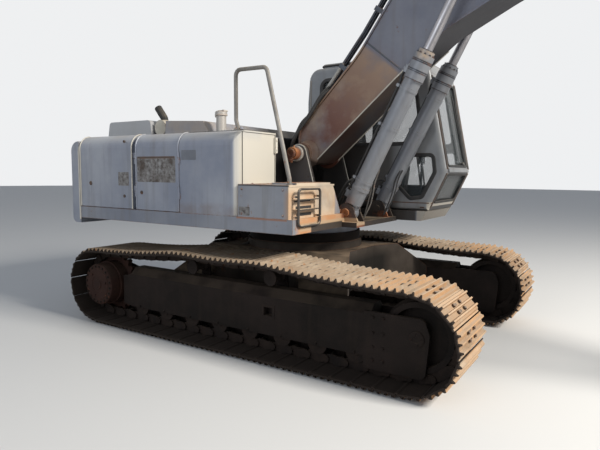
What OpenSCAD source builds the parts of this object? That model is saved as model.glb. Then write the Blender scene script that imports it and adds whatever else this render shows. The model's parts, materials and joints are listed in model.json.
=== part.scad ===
// Crawler excavator with a box-section boom, arm and digging bucket.
// Lengths are millimetres and angles are degrees. X points forward, Y to the left and Z up.
// Zero is on the ground, in the middle of the machine's length and between its tracks.

/* [Tracks] */
// Distance between the middles of the two tracks
track_gauge = 2390; // [2200:10:2600]
// Width of a track shoe
shoe_w = 700; // [500:10:800]
// Distance between idler and sprocket centres
tumbler_base = 3750; // [3500:10:4000]
// Radius of the link pins' path round idler and sprocket
pin_r = 340; // [320:5:360]
// Height of a link below its pin, down to the shoe
link_h = 46; // [42:1:50]
// Thickness of a shoe's plate
shoe_t = 14; // [10:1:18]
// Height of the three grousers on each shoe
grouser_h = 30; // [24:1:36]
// Number of shoes on a track
shoe_count = 50; // [48:1:52]
// Height of the upper run's link pins over the carrier rollers
upper_run_z = 849; // [830:1:870]
// Sag of the upper run between its supports
sag = 22; // [0:1:40]
// Width of one link rail
rail_w = 35; // [30:1:45]
// Gap between the two link rails
rail_gap = 120; // [110:2:130]
// Number of sprocket teeth
tooth_count = 22; // [20:1:24]
// Thickness of the sprocket's toothed ring
tooth_w = 55; // [45:1:65]
// Radius of the final drive's drum
drum_r = 250; // [220:5:280]
// Number of bottom rollers on a side
roller_count = 8; // [6:1:8]
// Distance between bottom rollers
roller_pitch = 380; // [340:5:390]
// Tread radius of a bottom roller
roller_r = 80; // [70:1:85]
// Tread radius of a carrier roller
carrier_r = 60; // [50:1:65]
// Distance between the carrier rollers
carrier_span = 990; // [800:10:1200]

/* [Undercarriage frame] */
// Outer width of a track frame
frame_w = 262; // [250:2:280]
// Thickness of a track frame's side plates
frame_plate = 20; // [14:1:26]
// Bottom of the track frame's side plates
frame_z0 = 207; // [190:1:230]
// Top of the track frame's side plates
frame_z1 = 570; // [540:5:600]
// Height of the ridge above the side plates
frame_ridge = 75; // [50:5:90]
// Bottom of the idler guard
guard_z0 = 107; // [90:1:130]
// Top of the carbody's middle
carbody_z = 900; // [880:5:920]
// Radius of the tower under the slewing ring
tower_r = 660; // [600:10:700]
// Bore radius of the towing eyes
tow_bore_r = 30; // [20:1:34]

/* [House] */
// Half of the house's width
house_half = 1425; // [1380:5:1450]
// Underside of the deck
deck_z = 1180; // [1170:5:1200]
// Thickness of the deck plate
deck_t = 50; // [40:2:60]
// Top of the sills round the deck
sill_z = 1313; // [1300:1:1330]
// Width of a sill
sill_w = 80; // [60:5:100]
// Top of the engine hood and tank
hood_z = 2115; // [2080:5:2150]
// Thickness of doors and hood panels
panel_t = 40; // [30:2:50]
// Radius of the hood's long top edges
edge_r = 140; // [100:5:160]
// Radius of the tail about the slewing axis
tail_r = 2750; // [2700:10:2800]
// Front face of the counterweight, behind the slewing axis
weight_x = 2205; // [2180:5:2240]
// Underside of the counterweight
weight_z0 = 1120; // [1080:5:1150]
// Top of the counterweight
weight_z1 = 2060; // [2000:5:2090]
// Bore radius of the counterweight's lifting eyes
lift_bore_r = 28; // [20:1:34]
// Gap round a closed door
door_gap = 6; // [5:0.5:8]
// Rear door's front edge, behind the slewing axis
rear_door_x = 1290; // [1260:5:1320]
// Gap between the two doors of a side
post_gap = 50; // [40:2:60]
// Rear face of the tank, behind the slewing axis
tank_x0 = 593; // [570:1:620]
// Front face of the tank, before the slewing axis
tank_x1 = 149; // [120:1:150]
// Inner face of the tank, right of the slewing axis
tank_y = 815; // [780:5:850]
// Front face of the step box
step_x = 720; // [690:5:740]
// Top of the step box
step_z = 1600; // [1570:5:1620]
// Height of the raised engine covers above the hood
cover_h = 185; // [150:5:220]
// Diameter of the handrail tube
rail_d = 38; // [30:1:45]

/* [Cab] */
// Inner side of the cab, left of the slewing axis
cab_y0 = 500; // [495:5:520]
// Distance of the cab's outer side inside the house's
cab_inset = 5; // [0:1:25]
// Rear face of the cab, behind the slewing axis
cab_x0 = 300; // [280:5:320]
// Underside of the cab's floor
cab_z0 = 1310; // [1306:1:1330]
// Top of the cab's roof
cab_z1 = 3000; // [2950:10:3040]
// Thickness of the cab's walls
cab_wall = 45; // [35:1:55]
// Thickness of the window glass
glass_t = 6; // [4:1:8]
// Rear edge of the cab door
cab_door_x = 300; // [280:5:340]

/* [Boom] */
// Foot pin, ahead of the slewing axis
foot_x = 165; // [150:5:180]
// Height of the foot pin
foot_z = 1926; // [1910:2:1940]
// Radius of the foot pin
foot_pin_r = 45; // [40:1:50]
// Arm pivot, ahead of the foot pin
boom_reach = 5085; // [5000:5:5150]
// Arm pivot, above the foot pin
boom_rise = 2274; // [2250:2:2300]
// Half of the boom's width over its top and bottom plates
boom_half = 240; // [230:2:250]
// Overhang of the top and bottom plates beside the webs
boom_lip = 15; // [10:1:20]
// Half of the width of the boom's foot boss
foot_half = 355; // [345:5:360]
// Radius of the arm pivot's pin
arm_pin_r = 40; // [35:1:45]
// Sideways place of the boom cylinders
boom_cyl_y = 380; // [376:1:384]
// Outer radius of the boom cylinders' tubes
boom_tube_r = 85; // [80:1:88]
// Radius of the boom cylinders' rods
boom_rod_r = 45; // [40:1:50]

/* [Arm and bucket] */
// Distance from arm pivot to bucket pin
arm_len = 2900; // [2850:5:2950]
// Direction of the arm as parked
arm_angle = -95; // [-97:0.5:-93]
// Half of the arm's width over its plates
arm_half = 150; // [144:1:152]
// Radius of the bucket pin
bucket_pin_r = 38; // [34:1:42]
// Distance from bucket pin to tooth tip
tip_r = 1420; // [1400:5:1425]
// Direction from bucket pin to tooth tip as parked
bucket_angle = -115; // [-117:0.5:-113]
// Width of the bucket
bucket_w = 1120; // [1000:10:1200]
// Thickness of the bucket's shell
shell_t = 25; // [20:1:30]
// Number of bucket teeth
bucket_teeth = 5; // [4:1:6]
// Length of the tilt levers
lever_len = 600; // [590:1:610]
// Length of the connecting link
link_len = 580; // [570:1:590]
// Distance from bucket pin to the link's pin on the bucket
crank_len = 430; // [420:1:440]
// Outer radius of the arm cylinder's tube
arm_tube_r = 80; // [75:1:85]
// Outer radius of the bucket cylinder's tube
bucket_tube_r = 70; // [65:1:75]
// Radius of the arm and bucket cylinders' rods
rod_r = 45; // [40:1:48]

/* [Hidden] */
$fn = 64;

// Paint, rubber and bare metal
paint = "lightsteelblue";
dusty = "tan";
grime = "dimgray";
steel = "silver";

// Clearance of a pin or rod in its bore, and of a piece that rests on another
fit = 0.3;
seat_gap = 0.3;
// Hinge knuckles: radius, length and the gap between neighbours
knuckle_r = 9;
knuckle_len = 60;

// Plane geometry of outlines
function unit(v) = v / norm(v);
function polar(r, a) = [r * cos(a), r * sin(a)];
function arc(c, r, a0, a1, n) = [for (k = [0:n]) c + polar(r, a0 + (a1 - a0) * k / n)];
// Third corner of a triangle with sides ra at a and rb at b, on the left of a to b
function apex(a, b, ra, rb) =
    let (d = norm(b - a), u = (b - a) / d, s = (ra^2 - rb^2 + d^2) / (2 * d))
    a + s * u + sqrt(ra^2 - s^2) * [-u.y, u.x];
function turned(p, a) = [p.x * cos(a) - p.y * sin(a), p.x * sin(a) + p.y * cos(a)];
// Corner b of an outline that comes from a and goes to c, rounded to radius r
function corner(a, b, c, r, n) = r == 0 ? [b] :
    let (u = unit(a - b), v = unit(c - b), half = acos(u * v) / 2,
         m = b + unit(u + v) * r / sin(half),
         s = b + u * r / tan(half) - m, e = b + v * r / tan(half) - m,
         a0 = atan2(s.y, s.x), turn = (atan2(e.y, e.x) - a0 + 540) % 360 - 180)
    arc(m, r, a0, a0 + turn, n);
// Outline from rows of x, y and corner radius
function rounded(rows, n = 6) = [
    for (i = [0:len(rows) - 1])
        let (a = rows[(i + len(rows) - 1) % len(rows)], b = rows[i], c = rows[(i + 1) % len(rows)])
        each corner([a.x, a.y], [b.x, b.y], [c.x, c.y], len(b) > 2 ? b[2] : 0, n)
];
// A closed anticlockwise outline moved inwards by t
function inset(p, t) = [
    for (i = [0:len(p) - 1])
        let (b = p[i], u = unit(b - p[(i + len(p) - 1) % len(p)]), v = unit(p[(i + 1) % len(p)] - b),
             m = [-u.y, u.x], n = [-v.y, v.x])
        b + (m + n) * t / (1 + m * n)
];

// Belt line of the link pins, anticlockwise seen from the right, and its length
pin_to_tip = link_h + shoe_t + grouser_h;
wheel_x = tumbler_base / 2;
wheel_z = pin_r + pin_to_tip;
wrap_steps = 9;
wrap_lean = 88;
carrier_x = [carrier_span / 2 - 65, -carrier_span / 2 - 65];
function span(a, b, n) = [for (k = [1:n]) let (t = k / n) a + (b - a) * t - [0, 4 * sag * t * (1 - t)]];
front_wrap = arc([wheel_x, wheel_z], pin_r, -90, wrap_lean, wrap_steps);
rear_wrap = arc([-wheel_x, wheel_z], pin_r, 180 - wrap_lean, 270, wrap_steps);
belt = concat(front_wrap,
    span(front_wrap[wrap_steps], [carrier_x[0], upper_run_z], 3),
    span([carrier_x[0], upper_run_z], [carrier_x[1], upper_run_z], 3),
    span([carrier_x[1], upper_run_z], rear_wrap[0], 3),
    [for (k = [1:wrap_steps]) rear_wrap[k]]);
belt_n = len(belt);
function station(i) = i == 0 ? 0 : station(i - 1) + norm(belt[i % belt_n] - belt[i - 1]);
stations = [for (i = [0:belt_n]) station(i)];
shoe_pitch = stations[belt_n] / shoe_count;
function on_belt(s) =
    let (i = max([for (k = [0:belt_n - 1]) if (stations[k] <= s) k]),
         d = unit(belt[(i + 1) % belt_n] - belt[i]))
    [belt[i] + d * (s - stations[i]), d];
// Inner radius of the rails' faceted wrap, where idler and sprocket drum run
rail_wrap_r = pin_r * cos((90 + wrap_lean) / wrap_steps / 2) - link_h;
rail_out = rail_gap / 2 + rail_w;
frame_half = frame_w / 2;
roller_z = pin_to_tip + link_h + roller_r + seat_gap;
roller_gap_z = roller_z + roller_r + 32;
carrier_z = upper_run_z - link_h - carrier_r - 1;
carrier_arm_t = 24;
// Towing eyes' centres, ahead of and behind the slewing axis, and their height
tow_x = 815;
tow_z = 585;
track_y = track_gauge / 2;

// Slewing ring: its lower race is bolted to the carbody
race_z = carbody_z + 85;
race_h = 95;
race_gap = 0.5;
race_r = tower_r - 20;

// Side outlines of the house
post_x = rear_door_x - post_gap;
cab_y1 = house_half - cab_inset;
// Inner edges of the step box at its foot and top, and the climbing hoop's two uprights
step_in = [house_half - 960, house_half - 789];
hoop_y = [65 - house_half, 435 - house_half];
hood_front_x = 150;
cab_back_x = cab_x0 + 60;
deck_top = deck_z + deck_t;
cover_front = [1190, 530];
cover_rear = [2160, 1400];
cover_y = [-1050, 950];
lid_hinge = [-cover_rear[0] - 12, hood_z + knuckle_r + 2];
lid_hinge_y = [-760, 600];
cab_hinge = [cab_door_x - 4, cab_y1 + knuckle_r + 1];
cab_hinge_z = [1560, 2600];
rear_hinge = [-rear_door_x + 14, house_half - 25];
front_hinge = [-tank_x0 - 3, -house_half - knuckle_r];
door_hinge_z = [1450, 1800];

// Boom pins and pivots in the side view, from the slewing axis
foot = [foot_x, foot_z];
arm_pivot = foot + [boom_reach, boom_rise];
lift_base = [774, 1323];
lift_eye = foot + [1765, 1674];
crowd_base = foot + [2085, 2250];
tip_boss_r = 175;
fork_r = 530;

// Arm: its own outline lies along the line from arm pivot to bucket pin
tail_pin = polar(800, 165);
curl_base = [330, 430];
lever_pivot = [arm_len - 470, 60];
function arm_to_side(p) = arm_pivot + turned(p, arm_angle);
bucket_pin = arm_to_side([arm_len, 0]);
tail_side = arm_to_side(tail_pin);

// Bucket linkage: the crank on the bucket, the link and the levers
crank_lead = 95;
crank_pin = bucket_pin + polar(crank_len, bucket_angle + crank_lead);
lever_side = arm_to_side(lever_pivot);
lever_end = apex(lever_side, crank_pin, lever_len, link_len);
lever_end_r = 68;

// Cylinders as parked: length from base pin to rod eye, and direction
lift_len = norm(lift_eye - lift_base);
lift_angle = atan2(lift_eye.y - lift_base.y, lift_eye.x - lift_base.x);
crowd_len = norm(tail_side - crowd_base);
crowd_angle = atan2(tail_side.y - crowd_base.y, tail_side.x - crowd_base.x);
curl_side = arm_to_side(curl_base);
curl_len = norm(lever_end - curl_side);
curl_angle = atan2(lever_end.y - curl_side.y, lever_end.x - curl_side.x);
// Gland end of each tube, from its base pin
lift_tube = 1716;
crowd_tube = 2120;
curl_tube = 1510;

// The slewing axis lies where the machine's length is centred on zero
slew_x = (tail_r - lever_end.x - lever_end_r) / 2;

// Frames and simple solids
module place() {
    translate([slew_x, 0, 0]) children();
}
module both() {
    children();
    mirror([0, 1, 0]) children();
}
// A side outline in X and Z, as thick as from y0 to y1
module slab(y0, y1) {
    translate([0, y1, 0]) rotate([90, 0, 0]) linear_extrude(y1 - y0) children();
}
// A round bar across the machine
module bar(p, r, y0, y1) {
    translate([p.x, y1, p.y]) rotate([90, 0, 0]) cylinder(r = r, h = y1 - y0);
}
module block(low, high) {
    translate(low) cube(high - low);
}
// A round bar that follows points in the side view, bent to the radius bend at each inner one
module pipe(p, r, bend, sides = 12) {
    last = len(p) - 1;
    way = [p[0], for (i = [1:1:last - 1]) each corner(p[i - 1], p[i], p[i + 1], bend, 4), p[last]];
    n = len(way) - 1;
    heading = [for (i = [0:n - 1]) let (d = way[i + 1] - way[i]) atan2(d.y, d.x)];
    rings = [
        for (i = [0:n])
            let (before = heading[max(i - 1, 0)], after = heading[min(i, n - 1)],
                 lean = ((after - before + 540) % 360 - 180) / 2,
                 side = polar(r / cos(lean), before + lean + 90))
            for (k = [0:sides - 1]) let (a = 360 * k / sides)
                [way[i].x + side.x * cos(a), r * sin(a), way[i].y + side.y * cos(a)]
    ];
    polyhedron(rings, [
        [for (k = [sides - 1:-1:0]) k],
        [for (k = [0:sides - 1]) n * sides + k],
        for (i = [0:n - 1], k = [0:sides - 1])
            let (a = i * sides + k, b = i * sides + (k + 1) % sides)
                each [[a, b, a + sides], [b, b + sides, a + sides]]
    ]);
}
module side_frame(p, a) {
    translate([p.x, 0, p.y]) rotate([0, -a, 0]) children();
}
module on_arm() {
    side_frame(arm_pivot, arm_angle) children();
}
module on_bucket() {
    side_frame(bucket_pin, bucket_angle) children();
}

// Undercarriage

function shoe_outline() = [
    for (j = [0:shoe_count - 1])
        let (f = on_belt((j + 0.5) * shoe_pitch), d = f[1], out = [d.y, -d.x])
        for (g = [-1:1]) let (c = g * shoe_pitch / 3)
            for (q = [[-14, 0], [-7, 1], [7, 1], [14, 0]])
                f[0] + d * (c + q.x) + out * (link_h + shoe_t + q.y * grouser_h)
];

module track(side) {
    y = side * track_y;
    place() color(dusty) {
        slab(y - shoe_w / 2, y + shoe_w / 2) difference() {
            polygon(shoe_outline());
            polygon(inset(belt, -link_h));
        }
        for (s = [-1, 1]) {
            c = y + s * (rail_gap + rail_w) / 2;
            slab(c - rail_w / 2, c + rail_w / 2) difference() {
                polygon(inset(belt, -link_h - 4));
                polygon(inset(belt, link_h));
            }
        }
    }
}
module track_right() {
    track(-1);
}
module track_left() {
    track(1);
}

module track_frame(side) {
    inner = -frame_half;
    box_x0 = -wheel_x + pin_r + 60;
    box_x1 = wheel_x - pin_r - 60;
    slope = frame_plate + 51;
    place() color(grime) translate([0, side * track_y, 0]) mirror([0, side < 0 ? 1 : 0, 0]) {
        difference() {
            translate([box_x0, 0, 0]) rotate([90, 0, 90]) linear_extrude(box_x1 - box_x0)
                polygon([
                    [-frame_half, frame_z0], [-frame_half + frame_plate, frame_z0],
                    [-frame_half + frame_plate, roller_gap_z], [frame_half - frame_plate, roller_gap_z],
                    [frame_half - frame_plate, frame_z0], [frame_half, frame_z0], [frame_half, frame_z1],
                    [frame_half - slope, frame_z1 + frame_ridge],
                    [-frame_half + slope, frame_z1 + frame_ridge],
                    [-frame_half, frame_z1]
                ]);
            // Square opening of the track adjuster
            block([385, frame_half - 70, 392], [475, frame_half + 1, 482]);
        }
        // Rear cheeks: the inner one holds the final drive
        slab(frame_half - frame_plate, frame_half)
            polygon([[-wheel_x + drum_r + 25, 230], [box_x0 + 5, frame_z0], [box_x0 + 5, frame_z1],
                     [-wheel_x + drum_r + 25, frame_z1 - 26]]);
        difference() {
            slab(inner, inner + frame_plate) {
                polygon([[-wheel_x, wheel_z - drum_r + 20], [box_x0 + 5, frame_z0], [box_x0 + 5, frame_z1],
                         [-wheel_x, wheel_z + drum_r - 20]]);
                translate([-wheel_x, wheel_z]) circle(r = drum_r - 20);
            }
            bar([-wheel_x, wheel_z], drum_r - 60 + fit, inner - 1, inner + frame_plate + 1);
        }
        // Front cheeks guard the idler and carry its axle
        for (y0 = [inner - 6, frame_half - frame_plate])
            slab(y0, y0 + frame_plate + 6) polygon(rounded([
                [box_x1 - 60, guard_z0], [wheel_x + 75, guard_z0, 60], [wheel_x + 105, wheel_z + 40, 60],
                [wheel_x + 60, frame_z1 + 25, 60], [box_x1 - 60, frame_z1 + 25]
            ]));
        // Brackets that hold the carrier rollers by their inner ends
        for (x = carrier_x)
            slab(inner, inner + carrier_arm_t)
                polygon([[x - 75, frame_z1 - 20], [x + 75, frame_z1 - 20], [x + 40, carrier_z + 38],
                         [x - 40, carrier_z + 38]]);
    }
}
module track_frame_right() {
    track_frame(-1);
}
module track_frame_left() {
    track_frame(1);
}

// A toothed ring between the rails, and the drum of the final drive that carries it
module sprockets() {
    root_r = pin_r - 30;
    step = 360 / tooth_count;
    place() color(grime) both() translate([0, track_y, 0]) {
        slab(-tooth_w / 2, tooth_w / 2) translate([-wheel_x, wheel_z])
            polygon([
                for (k = [0:tooth_count - 1])
                    for (q = [[-0.34, 0], [-0.16, 42], [0.16, 42], [0.34, 0]])
                        polar(root_r + q.y, (k + q.x) * step)
            ]);
        at = [-wheel_x, wheel_z];
        bar(at, drum_r, 0, frame_half + 10);
        bar(at, drum_r - 45, 0, frame_half + 34);
        bar(at, drum_r - 130, 0, frame_half + 48);
        bar(at, drum_r - 60, -frame_half - 45, 0);
        bar(at, drum_r - 95, -frame_half - 130, 0);
    }
}

module idlers() {
    rim_r = rail_wrap_r - seat_gap;
    place() color(grime) both() translate([wheel_x, track_y, wheel_z]) rotate([90, 0, 0]) {
        rotate_extrude() polygon([
            [0, -rail_out], [75, -rail_out], [75, -40], [rim_r - 45, -22], [rim_r - 45, -rail_out],
            [rim_r, -rail_out], [rim_r, -rail_gap / 2 + 6], [rim_r + 24, -rail_gap / 2 + 18],
            [rim_r + 24, rail_gap / 2 - 18], [rim_r, rail_gap / 2 - 6], [rim_r, rail_out],
            [rim_r - 45, rail_out], [rim_r - 45, 22], [75, 40], [75, rail_out], [0, rail_out]
        ]);
        cylinder(r = 45, h = frame_w - 2 * frame_plate, center = true);
    }
}

module roller(p, r, reach, flange) {
    translate([p.x, 0, p.y]) rotate([90, 0, 0]) {
        rotate_extrude() polygon([
            [0, -rail_out - 2], [r + flange, -rail_out - 2 - 6], [r + flange, -rail_out - 2],
            [r, -rail_out - 2],
            [r, -rail_gap / 2], [r - 18, -rail_gap / 2 + 12], [r - 18, rail_gap / 2 - 12], [r, rail_gap / 2],
            [r, rail_out + 2], [r + flange, rail_out + 2], [r + flange, rail_out + 8], [0, rail_out + 8]
        ]);
        translate([0, 0, -reach[1]]) cylinder(r = 32, h = reach[0] + reach[1]);
    }
}
module bottom_rollers() {
    first = -(roller_count - 1) / 2 * roller_pitch;
    reach = frame_half - frame_plate;
    place() color(grime) both() translate([0, track_y, 0])
        for (k = [0:roller_count - 1])
            roller([first + k * roller_pitch, roller_z], roller_r, [reach, reach], 18);
}
module carrier_rollers() {
    place() color(grime) both() translate([0, track_y, 0])
        for (x = carrier_x)
            roller([x, carrier_z], carrier_r, [frame_half - carrier_arm_t - seat_gap, rail_out], 12);
}

// Middle frame: a box with four legs that slope down to the track frames
module carbody() {
    leg_y = track_y - frame_half;
    place() color(grime) {
        intersection() {
            translate([0, 0, 300]) linear_extrude(carbody_z - 300) {
                square([1500, 1400], center = true);
                for (sx = [-1, 1], sy = [-1, 1])
                    polygon([[sx * 250, sy * 560], [sx * 750, sy * 300], [sx * 1120, sy * leg_y],
                             [sx * 600, sy * leg_y]]);
            }
            rotate([90, 0, 90]) linear_extrude(2400, center = true)
                polygon([[-leg_y, 350], [-700, 470], [700, 470], [leg_y, 350], [leg_y, 590], [620, carbody_z],
                         [-620, carbody_z], [-leg_y, 590]]);
        }
        translate([0, 0, carbody_z - 5]) cylinder(r = tower_r, h = race_z - carbody_z + 5);
        // Towing eyes at the front and the rear, for an upright pin
        for (sx = [-1, 1], y = [-300, 300]) difference() {
            translate([0, 0, tow_z - 25]) linear_extrude(50) {
                translate([sx < 0 ? -tow_x : 745, y - 65]) square([tow_x - 745, 130]);
                translate([sx * tow_x, y]) circle(r = 65);
            }
            translate([sx * tow_x, y, tow_z - 26]) cylinder(r = tow_bore_r, h = 52);
        }
    }
}

module slew_ring() {
    place() color(grime) translate([0, 0, race_z]) difference() {
        cylinder(r = race_r, h = race_h - race_gap);
        translate([0, 0, -1]) cylinder(r = race_r - 110, h = race_h + 1);
    }
}

// House

module revolving_frame() {
    frame_x0 = -weight_x + seat_gap;
    front_x = 930;
    rail_x1 = step_x + 44;
    place() color(paint) {
        // Upper race of the slewing ring
        translate([0, 0, race_z + race_h]) difference() {
            cylinder(r = race_r - 25, h = deck_z - race_z - race_h + 1);
            translate([0, 0, -1]) cylinder(r = race_r - 130, h = deck_z - race_z - race_h + 3);
        }
        difference() {
            union() {
                block([frame_x0, -520, deck_z], [front_x, 520, deck_top]);
                block([frame_x0, -house_half + 5, deck_z], [rail_x1, -519, deck_top]);
                block([frame_x0, 519, deck_z], [-cab_back_x + 5, house_half - 5, deck_top]);
            }
            translate([0, 0, deck_z - 1]) cylinder(r = 180, h = deck_t + 2);
        }
        // Sills and the deck under tank and step box
        block([frame_x0, -house_half, deck_z], [rail_x1, -house_half + sill_w, sill_z]);
        block([frame_x0, house_half - sill_w, deck_z], [-cab_back_x, house_half, sill_z]);
        block([-tank_x0, -house_half + sill_w - 1, deck_top - 1], [rail_x1, -tank_y, sill_z]);
        block([-hood_front_x + seat_gap, -tank_y - 1, deck_top - 1], [rail_x1, -step_in[0], sill_z]);
        // Platform under the cab, its front raked
        slab(cab_y0 + 5, cab_y1 - 10)
            polygon([[-cab_back_x + seat_gap, deck_z + 10], [1220, deck_z + 10], [1290, cab_z0 - 6],
                     [-cab_back_x + seat_gap, cab_z0 - 6]]);
        // Rubber mounts of the cab
        for (x = [-150, 1050], y = [cab_y0 + 120, cab_y1 - 120])
            translate([x, y, cab_z0 - 7]) cylinder(r = 45, h = 7);
        both() boom_bracket();
        foot_collar();
        // Lugs and pins of the boom cylinders' bases
        both() for (y0 = [boom_cyl_y - 80, boom_cyl_y + 55])
            slab(y0, y0 + 25) {
                polygon([[lift_base.x - 150, deck_top - 1], [lift_base.x + 140, deck_top - 1],
                         [lift_base.x + 95, lift_base.y], [lift_base.x - 95, lift_base.y]]);
                translate(lift_base) circle(r = 95);
            }
        both() bar(lift_base, 40, boom_cyl_y - 92, boom_cyl_y + 92);
    }
}
// Cheek plate beside the boom's foot, with the foot pin through it
module boom_bracket() {
    y0 = foot_half + 8;
    slab(y0, y0 + 50) {
        polygon([[-hood_front_x + 8, deck_top - 1], [-hood_front_x + 8, 1430], [20, 1640],
                 [foot.x - 100, foot.y], [foot.x + 99, foot.y + 14], [345, 1646], [470, deck_top - 1]]);
        translate(foot) circle(r = 100);
    }
    bar(foot, 78, y0 + 49, y0 + 82);
    bar(foot, foot_pin_r, -1, y0 + 96);
}
// Grease collar round the foot pin's right end, proud of its bracket
module foot_collar() {
    y0 = foot_half + 89;
    bar(foot, 62, -y0 - 98, -y0);
    bar(foot, foot_pin_r, -y0 - 114, -y0);
}

module counterweight() {
    round_r = 110;
    place() color(paint) {
        intersection() {
            rotate_extrude($fn = 96) polygon(rounded([
                [0, weight_z0], [tail_r, weight_z0, 60], [tail_r, weight_z1, round_r], [0, weight_z1]
            ]));
            block([-tail_r - 1, -house_half, weight_z0 - 1], [-weight_x, house_half, weight_z1 + 1]);
        }
        for (y = [-620, 620]) difference() {
            slab(y - 20, y + 20) {
                translate([-weight_x - 330, weight_z1 - 1]) square([140, 52]);
                translate([-weight_x - 260, weight_z1 + 50]) circle(r = 70);
            }
            bar([-weight_x - 260, weight_z1 + 50], lift_bore_r, y - 21, y + 21);
        }
    }
}

module engine() {
    place() color(grime) block([-2010, -420, deck_top], [-1330, 780, 1960]);
}

// Section of a side panel that wraps over the hood's long edge, seen along X
module side_section(z0) {
    h = house_half;
    difference() {
        polygon(rounded([[h - edge_r, z0], [h, z0], [h, hood_z, edge_r], [h - edge_r - 0.01, hood_z]], 8));
        polygon(rounded([[h - edge_r - 1, z0 - 1], [h - panel_t, z0 - 1],
                         [h - panel_t, hood_z - panel_t, edge_r - panel_t],
                         [h - edge_r - 2, hood_z - panel_t]], 8));
    }
}
// A wall across the house, as thick as a panel, that stays clear of sills and doors
module bulkhead(x0, y0, y1) {
    out = house_half - panel_t - 8;
    low = house_half - sill_w - seat_gap;
    top = hood_z - panel_t;
    half = [[low, deck_top], [low, sill_z + 1], [out, sill_z + 1], [out, top - 8, edge_r - panel_t - 8],
            [house_half - edge_r - 15, top - 8], [house_half - edge_r - 15, top + 1]];
    translate([x0, 0, 0]) rotate([90, 0, 90]) linear_extrude(panel_t) intersection() {
        polygon(rounded(concat(half, [
            for (k = [5:-1:0]) let (p = half[k]) [-p[0], p[1], len(p) > 2 ? p[2] : 0]
        ])));
        translate([y0, 0]) square([y1 - y0, 3000]);
    }
}
// An upright hinge knuckle
module knuckle(at, z, h) {
    translate([at.x, at.y, z]) cylinder(r = knuckle_r, h = h);
}
module side_panel(x0, x1, z0, side) {
    mirror([0, side < 0 ? 1 : 0, 0])
        translate([x0, 0, 0]) rotate([90, 0, 90]) linear_extrude(x1 - x0) side_section(z0);
}

module hood() {
    z0 = hood_z - panel_t;
    roof_y = house_half - edge_r - door_gap;
    back_x = -weight_x + 5;
    wide = house_half;
    place() color(paint) {
        // Roof, open under the rear cover
        difference() {
            union() {
                block([back_x, -tank_y + door_gap, z0], [-hood_front_x, cab_y0 - 10, hood_z]);
                block([back_x, -roof_y, z0], [-tank_x0 - door_gap, -tank_y + 7, hood_z]);
                block([back_x, cab_y0 - 11, z0], [-cab_back_x, roof_y, hood_z]);
            }
            block([-cover_rear[0] + 60, cover_y[0] + 60, z0 - 1],
                  [-cover_rear[1] - 60, cover_y[1] - 60, hood_z + 1]);
        }
        // Rear wall, and the front walls beside tank, boom and cab
        bulkhead(back_x, -wide, wide);
        bulkhead(-hood_front_x - panel_t, -tank_y + door_gap, cab_y0 - 10);
        bulkhead(-cab_back_x - panel_t, cab_y0 - 51, wide);
        bulkhead(-tank_x0 - door_gap - panel_t, -wide, -tank_y + 7);
        block([-cab_back_x - panel_t, cab_y0 - 51, deck_top], [-hood_front_x - 1, cab_y0 - 11, z0 + 1]);
        block([-tank_x0 - door_gap - 1, -tank_y + door_gap, deck_top],
              [-hood_front_x - 1, -tank_y + door_gap + panel_t, z0 + 1]);
        // Posts between the doors, with the knuckles of the rear doors
        both() {
            bulkhead(-rear_door_x + 5, roof_y - 20, wide);
            for (z = door_hinge_z) {
                knuckle(rear_hinge, z, knuckle_len);
                block([rear_hinge.x - knuckle_r, house_half - panel_t - 9, z],
                      [rear_hinge.x, rear_hinge.y, z + knuckle_len]);
            }
        }
        // Fixed left side behind the cab, with slots for the cooling air
        difference() {
            union() {
                side_panel(-post_x, -cab_back_x, sill_z, 1);
                block([-post_x, roof_y - 1, z0], [-cab_back_x, house_half - edge_r + 1, hood_z]);
            }
            for (k = [0:9])
                block([-post_x + 130, house_half - panel_t - 1, 1420 + k * 48],
                      [-cab_back_x - 160, house_half + 1, 1440 + k * 48]);
        }
        // Knuckles of the rear cover's hinges
        for (y = lid_hinge_y) {
            bar(lid_hinge, knuckle_r, y, y + knuckle_len);
            block([lid_hinge.x - knuckle_r, y, hood_z - 1], [lid_hinge.x, y + knuckle_len, lid_hinge.y]);
        }
        // Front cover over the muffler's inlet, clear of the tank's top
        difference() {
            slab(cover_y[0], cover_y[1])
                polygon([[-cover_front[0], hood_z - 1], [-cover_front[0] + 18, hood_z + cover_h - 20],
                         [-cover_front[1] - 90, hood_z + cover_h - 45], [-cover_front[1], hood_z - 1]]);
            block([-tank_x0 - door_gap, cover_y[0] - 1, hood_z - 2],
                  [0, -tank_y + door_gap, hood_z + seat_gap]);
        }
    }
}

// Rear cover with louvres, hinged along its rear edge
module hood_lid() {
    x0 = -cover_rear[0];
    x1 = -cover_rear[1];
    z0 = hood_z + door_gap;
    wall = 30;
    outline = rounded([[x0, z0], [x1, z0], [x1 - 24, hood_z + cover_h, 45], [x0 + 34, hood_z + cover_h, 45]]);
    place() color(paint) {
        difference() {
            slab(cover_y[0], cover_y[1]) polygon(outline);
            slab(cover_y[0] + wall, cover_y[1] - wall)
                polygon([[x0 + wall + 8, z0 - 1], [x1 - wall - 6, z0 - 1],
                         [x1 - 24 - wall, hood_z + cover_h - wall],
                         [x0 + 34 + wall, hood_z + cover_h - wall]]);
            for (k = [0:6])
                block([x0 + 120 + k * 66, cover_y[0] + 140, hood_z + cover_h - wall - 1],
                      [x0 + 142 + k * 66, cover_y[1] - 140, hood_z + cover_h + 1]);
        }
        for (y = lid_hinge_y) {
            bar(lid_hinge, knuckle_r, y + knuckle_len + seat_gap, y + 2 * knuckle_len);
            block([lid_hinge.x, y + knuckle_len + seat_gap, z0 + 2],
                  [x0 + 12, y + 2 * knuckle_len, lid_hinge.y]);
        }
    }
}

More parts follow.
